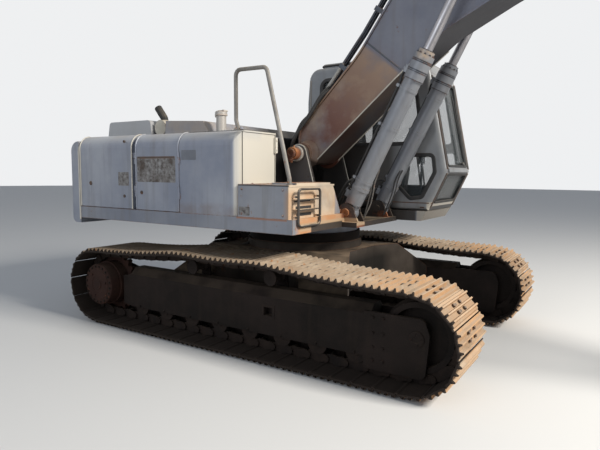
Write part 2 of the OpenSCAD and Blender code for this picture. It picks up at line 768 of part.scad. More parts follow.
// Muffler lying across the hood between its covers, with a slanted stack
module exhaust() {
    x = -(cover_front[0] + cover_rear[1]) / 2;
    r = 88;
    z = hood_z + r + 8;
    place() color(grime) {
        translate([x, -1020, z]) rotate([-90, 0, 0]) cylinder(r = r, h = 900);
        for (y = [-900, -300]) block([x - 20, y, hood_z], [x + 20, y + 40, z]);
        translate([0, -950, 0]) pipe([[x, z], [x, z + 105], [x - 104, z + 232]], 42, 60);
    }
}

module tank() {
    place() color(paint) {
        intersection() {
            translate([-tank_x0, 0, 0]) rotate([90, 0, 90]) linear_extrude(tank_x0 + tank_x1)
                polygon(rounded([[-house_half, sill_z], [-tank_y, sill_z], [-tank_y, hood_z],
                                 [-house_half, hood_z, edge_r]], 8));
            linear_extrude(hood_z + 1)
                polygon(rounded([[-tank_x0, -house_half], [tank_x1, -house_half, 75], [tank_x1, -tank_y],
                                 [-tank_x0, -tank_y]], 8));
        }
        // Knuckles of the front door's hinges
        for (z = door_hinge_z) {
            knuckle(front_hinge, z, knuckle_len);
            block([front_hinge.x, front_hinge.y, z],
                  [front_hinge.x + 2 * knuckle_r, 1 - house_half, z + knuckle_len]);
        }
        // Filler neck with its cap
        translate([-410, -1000, hood_z - 1]) cylinder(r = 52, h = 196);
        translate([-410, -1000, hood_z + 194]) cylinder(r = 62, h = 30);
    }
}

module step_box() {
    x0 = tank_x1 + 6;
    hoop_x = step_x + 62;
    place() color(paint) {
        translate([x0, 0, 0]) rotate([90, 0, 90]) linear_extrude(step_x - x0)
            polygon([[-house_half, sill_z], [-step_in[0], sill_z],
                     [-step_in[1], step_z], [-house_half, step_z]]);
        block([x0, -house_half, step_z - 1], [step_x + 5, -step_in[1] + 16, step_z + 14]);
        block([x0 + 300, -house_half + 120, step_z + 13], [step_x + 5, -step_in[1] - 64, step_z + 30]);
        // Climbing hoop with its steps
        translate([hoop_x, 0, 0]) rotate([0, 0, 90])
            pipe([[hoop_y[1], 1330], [hoop_y[1], step_z - 20], [hoop_y[0], step_z - 20], [hoop_y[0], 1250],
                  [hoop_y[1], 1250], [hoop_y[1], 1325]], 12, 40);
        for (y = hoop_y, z = [1330, step_z - 90])
            block([step_x - 1, y - 9, z - 9], [hoop_x, y + 9, z + 9]);
        for (z = [1390, 1480]) block([step_x - 1, hoop_y[0] + 10, z], [hoop_x, hoop_y[1] - 10, z + 10]);
    }
}

module handrail() {
    y = -house_half + 50;
    r = rail_d / 2;
    place() color(steel) {
        translate([0, y, 0]) pipe([[125, hood_z + 8], [98, 2200], [96, 2655], [444, 2650], [696, 1668],
                                   [696, step_z + 20]], r, 52);
        translate([112, y, hood_z]) cylinder(r = 34, h = 8);
        translate([696, y, step_z + 14]) cylinder(r = 28, h = 8);
    }
}

// Cab

cab_outline = rounded([
    [-cab_x0, cab_z0], [1300, cab_z0], [1500, 1750, 120], [1240, cab_z1, 160],
    [-cab_x0 + 30, cab_z1, 150], [-cab_x0, cab_z1 - 400, 200]
]);
cab_inner = inset(cab_outline, cab_wall);
// Rounding of the side walls' outer edges: depth across the machine, inset in the side view
cab_edge_depth = 38;
cab_edge_inset = 56;
cab_edge_steps = 5;
upper_window = rounded([[-110, 2060, 60], [1215, 2060, 60], [1100, 2850, 90], [-90, 2850, 90]]);
lower_window = rounded([[930, 1600, 40], [1090, 1440, 50], [1230, 1460, 50], [1370, 1740, 50],
                        [1345, 1930, 50], [930, 1930, 40]]);
roof_cut_z = cab_z1 - 170;
floor_cut_z = cab_z0 + cab_wall;

// A side wall of the cab whose outer edge is rounded all round; side is -1 on the right and 1 on the left
module rounded_wall(y0, y1, side) {
    steps = [for (k = [0:cab_edge_steps]) let (a = 90 * k / cab_edge_steps)
        [cab_edge_depth * (1 - sin(a)), cab_edge_inset * (1 - cos(a))]];
    rings = side > 0 ? concat([[y0, 0]], [for (q = steps) [y1 - q[0], q[1]]])
        : concat([for (k = [cab_edge_steps:-1:0]) [y0 + steps[k][0], steps[k][1]]], [[y1, 0]]);
    n = len(cab_outline);
    last = len(rings) - 1;
    polyhedron([for (q = rings) for (p = inset(cab_outline, q[1])) [p.x, q[0], p.y]], [
        [for (k = [n - 1:-1:0]) k],
        [for (k = [0:n - 1]) last * n + k],
        for (i = [0:last - 1], k = [0:n - 1])
            let (a = i * n + k, b = i * n + (k + 1) % n) each [[a, b, a + n], [b, b + n, a + n]]
    ]);
}
// The cab's shell between its side walls, from low to high in the side view
module cab_band(low, high) {
    slab(cab_y0 + cab_wall, cab_y1 - cab_wall) intersection() {
        difference() {
            polygon(cab_outline);
            polygon(cab_inner);
        }
        translate(low) square(high - low);
    }
}
module cab_floor() {
    place() color(grime) slab(cab_y0 + cab_wall, cab_y1 - cab_wall) intersection() {
        polygon(cab_outline);
        translate([-cab_x0 - 1, cab_z0 - 1]) square([2000, cab_wall + 1]);
    }
}
module cab_roof() {
    place() color(paint) {
        cab_band([-cab_x0 - 1, roof_cut_z], [2000, cab_z1 + 1]);
        block([150, cab_y0 + 190, cab_z1 - 1], [850, cab_y1 - 190, cab_z1 + 28]);
    }
}
module cab_wall_right() {
    place() color(paint) difference() {
        rounded_wall(cab_y0, cab_y0 + cab_wall, -1);
        slab(cab_y0 - 1, cab_y0 + cab_wall + 1) {
            polygon(upper_window);
            polygon(lower_window);
        }
    }
}
rear_window = [[cab_y0 + 150, 2060], [cab_y1 - 150, 2780]];
module cab_wall_rear() {
    place() color(paint) difference() {
        cab_band([-cab_x0 - 1, floor_cut_z], [-cab_x0 + 150, roof_cut_z]);
        block([-cab_x0 - 50, rear_window[0].x, rear_window[0].y], [0, rear_window[1].x, rear_window[1].y]);
    }
}
// Windscreen panes in the side view: middle height range of each
screen_y = [cab_y0 + cab_wall + 45, cab_y1 - cab_wall - 45];
screen_z = [[1400, 1715], [1810, roof_cut_z - 60]];
module cab_front() {
    place() color(paint) difference() {
        cab_band([1000, floor_cut_z], [2000, roof_cut_z]);
        for (z = screen_z) block([1000, screen_y[0], z[0]], [2000, screen_y[1], z[1]]);
    }
}
quarter_window = rounded([[-170, 2060, 50], [200, 2060, 50], [200, 2820, 60], [-150, 2820, 60]]);
door_outline = rounded([
    [cab_door_x, cab_z0 + 60, 40], [1245, cab_z0 + 60, 40], [1425, 1750, 60], [1205, cab_z1 - 150, 90],
    [cab_door_x, cab_z1 - 150, 60]
]);
door_window = rounded([[cab_door_x + 90, 2080, 50], [1285, 2080, 50], [1150, cab_z1 - 220, 70],
                       [cab_door_x + 90, cab_z1 - 220, 50]]);
door_low_window = rounded([[cab_door_x + 90, 1560, 50], [1190, 1560, 50], [1350, 1760, 50], [1310, 1990, 50],
                           [cab_door_x + 90, 1990, 50]]);
module cab_wall_left() {
    place() color(paint) {
        difference() {
            rounded_wall(cab_y1 - cab_wall, cab_y1, 1);
            slab(cab_y1 - cab_wall - 1, cab_y1 + 1) {
                polygon(inset(door_outline, -door_gap));
                polygon(quarter_window);
            }
        }
        for (z = cab_hinge_z) {
            knuckle(cab_hinge, z, knuckle_len);
            block([cab_hinge.x - 2 * knuckle_r, cab_y1 - 1, z], [cab_hinge.x, cab_hinge.y, z + knuckle_len]);
        }
    }
}
module cab_door() {
    place() color(paint) {
        slab(cab_y1 - cab_wall, cab_y1) difference() {
            polygon(door_outline);
            polygon(door_window);
            polygon(door_low_window);
        }
        // Hinge knuckles and handle
        for (z = cab_hinge_z) {
            knuckle(cab_hinge, z + knuckle_len + seat_gap, knuckle_len);
            block([cab_hinge.x, cab_y1 - 1, z + knuckle_len + seat_gap],
                  [cab_hinge.x + 2 * knuckle_r, cab_hinge.y, z + 2 * knuckle_len]);
        }
        block([1130, cab_y1 - 1, 2030], [1250, cab_y1 + 22, 2050]);
    }
}
module cab_door_glass() {
    y = cab_y1 - cab_wall / 2;
    place() color("gray", 0.5) slab(y - glass_t / 2, y + glass_t / 2) {
        polygon(door_window);
        polygon(door_low_window);
    }
}
module cab_glass() {
    yr = cab_y0 + cab_wall / 2;
    yl = cab_y1 - cab_wall / 2;
    place() color("gray", 0.5) {
        slab(yr - glass_t / 2, yr + glass_t / 2) {
            polygon(upper_window);
            polygon(lower_window);
        }
        slab(yl - glass_t / 2, yl + glass_t / 2) polygon(quarter_window);
        pane([-cab_x0 - 1, rear_window[0].y], [0, rear_window[1].y], rear_window[0].x, rear_window[1].x);
        for (z = screen_z) pane([1000, z[0]], [2000, z[1]], screen_y[0], screen_y[1]);
    }
}
// A pane along the middle of the cab's shell
module pane(low, high, y0, y1) {
    slab(y0, y1) intersection() {
        difference() {
            polygon(inset(cab_outline, cab_wall / 2 - glass_t / 2));
            polygon(inset(cab_outline, cab_wall / 2 + glass_t / 2));
        }
        translate(low) square(high - low);
    }
}

// The seat fills the room that the consoles beside it leave
console_w = 110;
console_y = [cab_y0 + cab_wall + 8, cab_y1 - cab_wall - 8 - console_w];
module seat() {
    mid = (cab_y0 + cab_y1) / 2;
    half = (console_y[1] - console_y[0] - console_w) / 2 - 47;
    z = floor_cut_z;
    place() color(grime) {
        block([240, mid - half + 90, z], [600, mid + half - 90, z + 260]);
        slab(mid - half, mid + half) polygon(rounded([
            [160, z + 255, 30], [720, z + 255, 60], [730, z + 390, 60], [190, z + 370, 40]]));
        slab(mid - half + 10, mid + half - 10) polygon(rounded([
            [170, z + 330, 40], [290, z + 340, 40], [200, z + 960, 60], [90, z + 960, 50]]));
    }
}
module consoles() {
    z = floor_cut_z;
    place() color(grime) {
        for (y = console_y) {
            slab(y, y + console_w) polygon(rounded([
                [120, z], [700, z], [760, z + 500, 50], [120, z + 470, 40]]));
            translate([0, y + console_w / 2, 0]) pipe([[660, z + 480], [700, z + 620]], 14, 0);
        }
        // Travel levers and pedals
        for (y = [-70, 70]) {
            m = (cab_y0 + cab_y1) / 2 + y;
            translate([0, m, 0]) pipe([[1080, z], [1080, z + 170], [1010, z + 620]], 11, 60);
            block([1040, m - 35, z], [1200, m + 35, z + 30]);
        }
    }
}

// House doors

module rear_door(side) {
    place() color(paint) {
        side_panel(-weight_x + 12, -rear_door_x, sill_z + door_gap, side);
        mirror([0, side < 0 ? 1 : 0, 0]) for (z = door_hinge_z) {
            knuckle(rear_hinge, z + knuckle_len + seat_gap, knuckle_len);
            block([-rear_door_x - 1, rear_hinge.y - knuckle_r, z + knuckle_len + seat_gap],
                  [rear_hinge.x, rear_hinge.y + knuckle_r, z + 2 * knuckle_len]);
        }
    }
}
module door_right_rear() {
    rear_door(-1);
}
module door_right_front() {
    place() color(paint) {
        side_panel(-post_x, -tank_x0 - door_gap, sill_z + door_gap, -1);
        for (z = door_hinge_z) {
            knuckle(front_hinge, z + knuckle_len + seat_gap, knuckle_len);
            block([front_hinge.x - 2 * knuckle_r, front_hinge.y, z + knuckle_len + seat_gap],
                  [front_hinge.x, 1 - house_half, z + 2 * knuckle_len]);
        }
    }
}
module door_left() {
    rear_door(1);
}

// Boom

// Outline of the boom's webs: the underside has two bends, the top sweeps over the knee
boom_outline = rounded([
    [foot.x + 60, foot.y - 112, 60], [1187, 2664], [1670, 3060, 900], [2350, 3405, 1500],
    [arm_pivot.x + 36, arm_pivot.y - tip_boss_r + 4, 40],
    [arm_pivot.x + tip_boss_r - 30, arm_pivot.y + 30, 120],
    [arm_pivot.x - 22, arm_pivot.y + tip_boss_r - 2, 100], [1430, 3900, 1000], [765, 2934, 1500],
    [foot.x - 110, foot.y + 275, 90], [foot.x - 112, foot.y - 30, 70]
], 8);

module boom() {
    web = boom_half - boom_lip;
    place() color(paint) difference() {
        union() {
            difference() {
                slab(-boom_half, boom_half) polygon(boom_outline);
                both() slab(web, boom_half + 1) polygon(inset(boom_outline, 18));
            }
            // Foot boss, tip bosses and bosses of the lift cylinders' pins
            bar(foot, 112, -foot_half, foot_half);
            both() translate([foot.x, web - 1, foot.y]) rotate([-90, 0, 0])
                cylinder(r1 = 152, r2 = 118, h = foot_half - 25 - web);
            both() bar(arm_pivot, 120, web - 1, boom_half + 24);
            both() bar(lift_eye, 118, web - 1, boom_cyl_y - 62);
            // Lugs of the arm cylinder's base
            both() slab(58, 92) {
                polygon([[crowd_base.x - 240, crowd_base.y - 230], [crowd_base.x + 180, crowd_base.y - 200],
                         [crowd_base.x + 66, crowd_base.y - 30], [crowd_base.x + 56, crowd_base.y + 62],
                         [crowd_base.x - 60, crowd_base.y + 62]]);
                translate(crowd_base) circle(r = 85);
            }
        }
        // Fork round the arm's pivot
        bar(arm_pivot, fork_r, -arm_half - 12, arm_half + 12);
        bar(foot, foot_pin_r + fit, -foot_half - 1, foot_half + 1);
    }
    // Pins of the arm pivot and of the arm cylinder's base
    place() color(steel) {
        bar(arm_pivot, arm_pin_r, -boom_half - 32, boom_half + 32);
        bar(crowd_base, 38, -108, 108);
    }
}

// Pipes along the boom's top, held by clamps
module boom_pipes() {
    way = [[foot.x + 120, foot.y + 610], [790, 3170], [1080, 3590], [1380, 4000], [2000, 4085]];
    place() color(steel) {
        for (y = [-150, -90, 90, 150]) translate([0, y, 0]) pipe(way, 16, 120);
        for (k = [0:3])
            let (a = way[k], b = way[k + 1]) slab(-176, 176) difference() {
                translate((a + b) / 2) rotate(atan2(b.y - a.y, b.x - a.x))
                    translate([-24, -200]) square([48, 220]);
                polygon(inset(boom_outline, -seat_gap));
            }
    }
}

// Cylinders

// Tube along X from its base eye at zero; bored for the rod, with a gland at its end
module cylinder_tube(len, r, bore_r, eye_r, eye_half, pin) {
    wall = 14;
    neck = eye_r + 18;
    rotate([0, 90, 0]) difference() {
        union() {
            translate([0, 0, neck]) cylinder(r = r, h = len - neck - 130);
            // Head with its grooves, end cap and base ring
            for (q = [[-290, 92, 10], [-200, 16, 3], [-186, 82, 12],
                      [-106, 16, 3], [-92, 52, 10], [-42, 42, -8]])
                translate([0, 0, len + q[0]]) cylinder(r = r + q[2], h = q[1]);
            translate([0, 0, 260]) cylinder(r = r + 7, h = 40);
            // Oil ports at head and base
            for (q = [len - 250, neck + 30]) translate([-r - 34, -32, q]) cube([60, 64, 74]);
        }
        translate([0, 0, neck + 25]) cylinder(r = r - wall, h = len - neck - 185);
        translate([0, 0, neck + 25]) cylinder(r = bore_r + fit, h = len);
    }
    difference() {
        union() {
            bar([0, 0], eye_r, -eye_half, eye_half);
            slab(-eye_half, eye_half) translate([0, -eye_r + 20]) square([neck + 2, 2 * eye_r - 40]);
        }
        bar([0, 0], pin + fit, -eye_half - 1, eye_half + 1);
    }
}
// Rod along X that ends in an eye with its own short pin
module cylinder_rod(len, back, r, eye_r, eye_half, pin_half) {
    rotate([0, 90, 0]) translate([0, 0, back]) cylinder(r = r, h = len - back - eye_r + 25);
    bar([len, 0], eye_r, -eye_half, eye_half);
    bar([len, 0], 36, -pin_half, pin_half);
}

module boom_cylinder_tubes() {
    place() color(paint) for (s = [-1, 1]) translate([0, s * boom_cyl_y, 0])
        side_frame(lift_base, lift_angle)
            cylinder_tube(lift_tube, boom_tube_r, boom_rod_r, 88, 48, 40);
}
module boom_cylinder_rods() {
    place() color(steel) for (s = [-1, 1]) translate([0, s * boom_cyl_y, 0])
        side_frame(lift_base, lift_angle) cylinder_rod(lift_len, 960, boom_rod_r, 82, 48, 55);
}
module arm_cylinder_tube() {
    place() color(paint) side_frame(crowd_base, crowd_angle)
        cylinder_tube(crowd_tube, arm_tube_r, rod_r, 82, 50, 38);
}
module arm_cylinder_rod() {
    place() color(steel) side_frame(crowd_base, crowd_angle)
        cylinder_rod(crowd_len, 1560, rod_r, 80, 50, 52);
}
module bucket_cylinder_tube() {
    place() color(paint) side_frame(curl_side, curl_angle)
        cylinder_tube(curl_tube, bucket_tube_r, rod_r - 5, 74, 46, 34);
}
module bucket_cylinder_rod() {
    place() color(steel) side_frame(curl_side, curl_angle)
        cylinder_rod(curl_len, 760, rod_r - 5, 72, 46, 46);
}

// Arm and bucket

arm_outline = rounded([
    [tail_pin.x - 60, tail_pin.y - 88, 30], [-150, -80, 200], [60, -168, 200], [900, -200, 800],
    [arm_len, -112, 60], [arm_len + 60, 0, 60], [arm_len, 112, 60], [520, 300, 500], [-60, 350, 400],
    [tail_pin.x + 10, tail_pin.y + 95, 40], [tail_pin.x - 88, tail_pin.y + 10, 60]
], 8);

module arm() {
    web = arm_half - 12;
    place() color(paint) on_arm() {
        difference() {
            union() {
                difference() {
                    slab(-arm_half, arm_half) polygon(arm_outline);
                    both() slab(web, arm_half + 1) polygon(inset(arm_outline, 16));
                }
                bar([0, 0], 140, -arm_half - 6, arm_half + 6);
                bar(tail_pin, 98, -arm_half, arm_half);
                bar(lever_pivot, 66, -arm_half - 18, arm_half + 18);
                bar([arm_len, 0], 108, -arm_half, arm_half);
                both() slab(56, 90) {
                    polygon([[curl_base.x - 220, curl_base.y - 130], [curl_base.x + 130, curl_base.y - 150],
                             [curl_base.x + 58, curl_base.y - 30], [curl_base.x + 50, curl_base.y + 52],
                             [curl_base.x - 60, curl_base.y + 52]]);
                    translate(curl_base) circle(r = 78);
                }
            }
            // Room for the arm cylinder's eye between the tail's cheeks
            slab(-58, 58) polygon([[-1000, -200], [tail_pin.x + 270, tail_pin.y - 270],
                                   [tail_pin.x + 270, tail_pin.y + 200], [-1000, tail_pin.y + 200]]);
            bar([0, 0], arm_pin_r + fit, -arm_half - 10, arm_half + 10);
        }
        // Pins: bucket, levers and bucket cylinder
        bar([arm_len, 0], bucket_pin_r, -arm_half - 82, arm_half + 82);
        bar(lever_pivot, 34, -arm_half - 82, arm_half + 82);
        bar(curl_base, 34, -104, 104);
    }
}

// A pair of levers beside the arm, each with a short pin through the link's ears
module tilt_levers() {
    y0 = arm_half + 24;
    aim = atan2(lever_end.y - lever_side.y, lever_end.x - lever_side.x);
    place() color(paint) both() side_frame(lever_side, aim) difference() {
        union() {
            slab(y0, y0 + 40) {
                circle(r = lever_end_r);
                translate([lever_len, 0]) circle(r = lever_end_r);
                polygon([[0, -58], [lever_len, -58], [lever_len, 58], [0, 58]]);
            }
            bar([lever_len, 0], 56, 112, y0 + 1);
            bar([lever_len, 0], 34, 54, y0 + 52);
        }
        bar([0, 0], 34 + fit, y0 - 1, y0 + 41);
    }
}
module connecting_link() {
    aim = atan2(crank_pin.y - lever_end.y, crank_pin.x - lever_end.x);
    place() color(paint) side_frame(lever_end, aim) {
        difference() {
            union() {
                bar([0, 0], 62, -106, 106);
                slab(-106, 106) polygon([[0, -55], [link_len, -60], [link_len, 60], [0, 55]]);
                bar([link_len, 0], 64, -152, 152);
            }
            slab(-56, 56) polygon([[-80, -80], [link_len - 250, -80], [link_len - 250, 80], [-80, 80]]);
            bar([0, 0], 34 + fit, -107, 107);
        }
    }
}

// Bucket, seen from its left: x runs to the tooth tips and y to the back of its shell
bucket_back = rounded([
    [170, 150], [240, 560, 140], [700, 830, 330], [1130, 560, 240], [1270, 40]
], 8);
bucket_outer = concat(bucket_back, [[1230, 32]]);

module bucket() {
    half = bucket_w / 2;
    side_t = 22;
    ear_y = [arm_half + 10, arm_half + 52];
    crank = polar(crank_len, crank_lead);
    place() color(grime) on_bucket() {
        difference() {
            union() {
                slab(-half, half) polygon(bucket_outer);
                // Ears for the bucket pin and the link
                both() slab(ear_y[0], ear_y[1]) {
                    circle(r = 100);
                    translate(crank) circle(r = 72);
                    polygon([[-80, -40], [60, -78], [330, 300], [420, 640], [210, 640], crank + [-60, 40],
                             crank + [-70, -20]]);
                }
            }
            slab(-half + side_t, half - side_t)
                polygon(concat([[120, 20]], [for (p = inset(bucket_back, -shell_t)) p], [[1300, -60]]));
            bar([0, 0], bucket_pin_r + fit, -ear_y[1] - 1, ear_y[1] + 1);
        }
        // Cutting edge and teeth
        slab(-half, half) polygon([[1150, 60], [1290, 20], [1290, 45], [1165, 130]]);
        for (k = [0:bucket_teeth - 1]) {
            y = -half + 70 + k * (bucket_w - 140) / (bucket_teeth - 1);
            slab(y - 45, y + 45) polygon([[1200, 20], [tip_r, -6], [tip_r, 6], [1280, 90], [1200, 110]]);
        }
    }
}

carbody();
slew_ring();
track_frame_right();
track_frame_left();
track_right();
track_left();
sprockets();
idlers();
bottom_rollers();
carrier_rollers();
revolving_frame();
counterweight();
engine();
hood();
exhaust();
tank();
step_box();
handrail();
cab_floor();
cab_roof();
cab_wall_right();
cab_wall_rear();
cab_front();
cab_wall_left();
cab_glass();
seat();
consoles();
cab_door();
cab_door_glass();
door_right_rear();
door_right_front();
door_left();
hood_lid();
boom();
boom_pipes();
boom_cylinder_tubes();
boom_cylinder_rods();
arm_cylinder_tube();
arm_cylinder_rod();
arm();
bucket_cylinder_tube();
bucket_cylinder_rod();
tilt_levers();
connecting_link();
bucket();
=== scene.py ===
# %% [markdown]
# # Dressing a crawler excavator
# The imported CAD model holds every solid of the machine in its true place, and each solid already moves
# with its body. This lesson loads that model, puts a camera and soft light round it, and then adds what
# CAD leaves out: weathered paint, rust and dust, single track shoes, hoses, seals, welds and bolts.

# %% Load the frame
import json
import math

import bpy
import numpy as np
from mathutils import Matrix


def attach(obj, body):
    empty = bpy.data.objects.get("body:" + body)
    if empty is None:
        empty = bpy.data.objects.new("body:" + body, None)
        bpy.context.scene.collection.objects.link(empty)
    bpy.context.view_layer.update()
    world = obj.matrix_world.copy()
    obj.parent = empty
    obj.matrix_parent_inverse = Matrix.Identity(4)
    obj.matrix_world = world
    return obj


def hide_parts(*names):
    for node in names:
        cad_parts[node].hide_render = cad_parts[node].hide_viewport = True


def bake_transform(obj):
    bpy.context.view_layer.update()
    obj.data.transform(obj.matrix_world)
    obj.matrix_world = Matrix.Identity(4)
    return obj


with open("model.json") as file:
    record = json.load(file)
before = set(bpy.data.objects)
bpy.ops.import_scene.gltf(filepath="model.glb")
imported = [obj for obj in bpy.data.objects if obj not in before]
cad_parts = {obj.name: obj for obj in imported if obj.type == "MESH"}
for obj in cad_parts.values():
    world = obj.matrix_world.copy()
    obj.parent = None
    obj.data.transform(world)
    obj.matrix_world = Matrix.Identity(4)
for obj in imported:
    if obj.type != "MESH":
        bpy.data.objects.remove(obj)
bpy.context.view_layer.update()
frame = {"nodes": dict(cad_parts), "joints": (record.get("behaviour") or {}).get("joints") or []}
nodes = frame["nodes"]
slew_x = next(j["pos_m"][0] for j in frame["joints"] if j["name"] == "slew")

# %% [markdown]
# ## Camera
# The camera stands low, ahead of the machine and to its right, at the height of a person's eyes. Its place
# was found by fitting the tracks and the long edges of the house, so the lens and the three turns are
# plain numbers.

# %% Camera
CAMERA_PLACE = (slew_x + 3.254, -5.197, 1.73)
CAMERA_YAW, CAMERA_PITCH, CAMERA_ROLL = math.radians(32.61), math.radians(5.78), math.radians(0.49)
FOCAL_PIXELS, FRAME_PIXELS, SENSOR = 524.1, 600, 36.0


def camera_turn(yaw, pitch, roll):
    """Columns right, up and back: forward is turned by yaw from +Y towards -X and dips by pitch."""
    forward = np.array([-math.sin(yaw) * math.cos(pitch), math.cos(yaw) * math.cos(pitch), -math.sin(pitch)])
    right = np.array([math.cos(yaw), math.sin(yaw), 0.0])
    up = np.cross(right, forward)
    turned_right = math.cos(roll) * right + math.sin(roll) * up
    turned_up = -math.sin(roll) * right + math.cos(roll) * up
    return np.column_stack([turned_right, turned_up, -forward])


camera_data = bpy.data.cameras.new("camera")
camera_data.sensor_width = SENSOR
camera_data.lens = SENSOR * FOCAL_PIXELS / FRAME_PIXELS
camera = bpy.data.objects.new("camera", camera_data)
bpy.context.scene.collection.objects.link(camera)
pose = np.eye(4)
pose[:3, :3] = camera_turn(CAMERA_YAW, CAMERA_PITCH, CAMERA_ROLL)
pose[:3, 3] = CAMERA_PLACE
camera.matrix_world = Matrix(pose.tolist())
bpy.context.scene.camera = camera
print("lens:", round(camera_data.lens, 2), "mm")

# %% [markdown]
# ## Meshes from arrays
# Every added piece is a grid of points worked out at once with numpy: a profile carried along a path, an
# outline given thickness, or a profile spun round an axis. Each helper returns points and faces, so that
# several can be joined into one piece before Blender sees them. They are drawn in millimetres from the
# slewing axis and the ground, as a workshop drawing is, and only the last step turns them into metres.

# %% Mesh helpers
SHARP_ANGLE = 32.0


def machine(x, y, z):
    """A point given in millimetres from the slewing axis and the ground, in metres of the frame."""
    return np.array([slew_x + x / 1000, y / 1000, z / 1000])


def ring_faces(rings, count, closed=False):
    """Quads between neighbouring rings of count points each."""
    i = np.arange(rings if closed else rings - 1)[:, None]
    k = np.arange(count)[None, :]
    a = i * count + k
    b = i * count + (k + 1) % count
    j = (i + 1) % rings
    c = j * count + (k + 1) % count
    d = j * count + k
    return np.stack([a, b, c, d], -1).reshape(-1, 4).tolist()


def sweep(path, profile, ref=(0, 0, 1), closed=False):
    """Point = path(i) + u*N(i) + v*B(i): N is at right angles to ref and the path, B to N and the path."""
    path, profile = np.asarray(path, float), np.asarray(profile, float)
    step = np.roll(path, -1, 0) - np.roll(path, 1, 0) if closed else np.gradient(path, axis=0)
    tangent = step / np.linalg.norm(step, axis=1)[:, None]
    normal = np.cross(np.asarray(ref, float), tangent)
    normal /= np.linalg.norm(normal, axis=1)[:, None]
    other = np.cross(tangent, normal)
    points = path[:, None] + profile[None, :, :1] * normal[:, None] + profile[None, :, 1:] * other[:, None]
    faces = ring_faces(len(path), len(profile), closed)
    if not closed:
        first = list(range(len(profile)))[::-1]
        last = [(len(path) - 1) * len(profile) + k for k in range(len(profile))]
        faces += [first, last]
    return points.reshape(-1, 3), faces


def circle(radius, sides=12):
    """Points of a circle: (r cos t, r sin t)."""
    t = np.arange(sides) * 2 * np.pi / sides
    return np.column_stack([radius * np.cos(t), radius * np.sin(t)])


def smooth_path(points, count=8):
    """Catmull-Rom curve through points: each piece is the cubic whose ends point along its neighbours."""
    p = np.asarray(points, float)
    p = np.vstack([2 * p[0] - p[1], p, 2 * p[-1] - p[-2]])
    t = np.linspace(0, 1, count, endpoint=False)[:, None]
    runs = [
        0.5 * (2 * b + (c - a) * t + (2 * a - 5 * b + 4 * c - d) * t**2 + (3 * b - a - 3 * c + d) * t**3)
        for a, b, c, d in zip(p[:-3], p[1:-2], p[2:-1], p[3:])
    ]
    return np.vstack(runs + [p[-2:-1]])


def tube(points, radius, sides=10, ref=(0.0123, 1, 0.0171), count=8):
    """A round hose or pipe: a circle carried along the smooth curve through the points."""
    return sweep(smooth_path(points, count), circle(radius, sides), ref)


def offset(outline, amount):
    """Each corner of an anticlockwise outline moved inwards by amount along both of its edges' normals."""
    before = outline - np.roll(outline, 1, 0)
    after = np.roll(outline, -1, 0) - outline
    n0 = np.column_stack([-before[:, 1], before[:, 0]]) / np.linalg.norm(before, axis=1)[:, None]
    n1 = np.column_stack([-after[:, 1], after[:, 0]]) / np.linalg.norm(after, axis=1)[:, None]
    return outline + amount * (n0 + n1) / (1 + (n0 * n1).sum(1))[:, None]


AXES = {"x": ((0, 1, 0), (0, 0, 1), (1, 0, 0)), "y": ((1, 0, 0), (0, 0, 1), (0, 1, 0)),
        "z": ((1, 0, 0), (0, 1, 0), (0, 0, 1))}


def prism(outline, low, high, axis="y", bevel=3.0):
    """An outline as thick as from low to high along an axis, its rings set in by the bevel at both ends."""
    outline = np.asarray(outline, float)
    u, v, w = (np.array(a, float) for a in AXES[axis])
    rings = [(low, bevel), (low + bevel, 0.0), (high - bevel, 0.0), (high, bevel)] if bevel else [(low, 0),
                                                                                                  (high, 0)]
    points = []
    for h, inset in rings:
        o = offset(outline, inset)
        points.append(o[:, :1] * u + o[:, 1:] * v + h * w)
    n = len(outline)
    faces = ring_faces(len(rings), n) + [list(range(n))[::-1], [(len(rings) - 1) * n + k for k in range(n)]]
    if axis == "y":
        faces = [f[::-1] for f in faces]
    return np.vstack(points), faces


def rounded(rows, steps=6):
    """An anticlockwise outline of rows x, z and radius, rounded: each arc is centre + r (cos t, sin t)."""
    rows = [(*r, 0)[:3] for r in rows]
    out = []
    for (ax, az, _), (bx, bz, r), (cx, cz, _) in zip(rows[-1:] + rows[:-1], rows, rows[1:] + rows[:1]):
        a, b, c = np.array([ax, az], float), np.array([bx, bz], float), np.array([cx, cz], float)
        if not r:
            out.append(b[None])
            continue
        u, v = (a - b) / np.linalg.norm(a - b), (c - b) / np.linalg.norm(c - b)
        half = math.acos(float(u @ v)) / 2
        middle = b + (u + v) / np.linalg.norm(u + v) * r / math.sin(half)
        first, last = b + u * r / math.tan(half) - middle, b + v * r / math.tan(half) - middle
        a0, a1 = math.atan2(first[1], first[0]), math.atan2(last[1], last[0])
        t = a0 + np.linspace(0, 1, steps + 1) * ((a1 - a0 + math.pi) % (2 * math.pi) - math.pi)
        out.append(middle + r * np.column_stack([np.cos(t), np.sin(t)]))
    return np.vstack(out)


def rectangle(x0, z0, x1, z1):
    """Corners of a rectangle, anticlockwise."""
    return np.array([[x0, z0], [x1, z0], [x1, z1], [x0, z1]], float)


def strip(width, thick):
    """A bar's section, centred on its path."""
    return rectangle(-width / 2, -thick / 2, width / 2, thick / 2)


def round_rectangle(x0, z0, x1, z1, radius, steps=6):
    """A rectangle whose four corners share one radius."""
    return rounded([(x, z, radius) for x, z in rectangle(x0, z0, x1, z1).tolist()], steps)


def slab_box(low, high, bevel=3.0):
    """A block between two corners with bevelled ends."""
    return prism(rectangle(low[0], low[1], high[0], high[1]), low[2], high[2], "z", bevel)


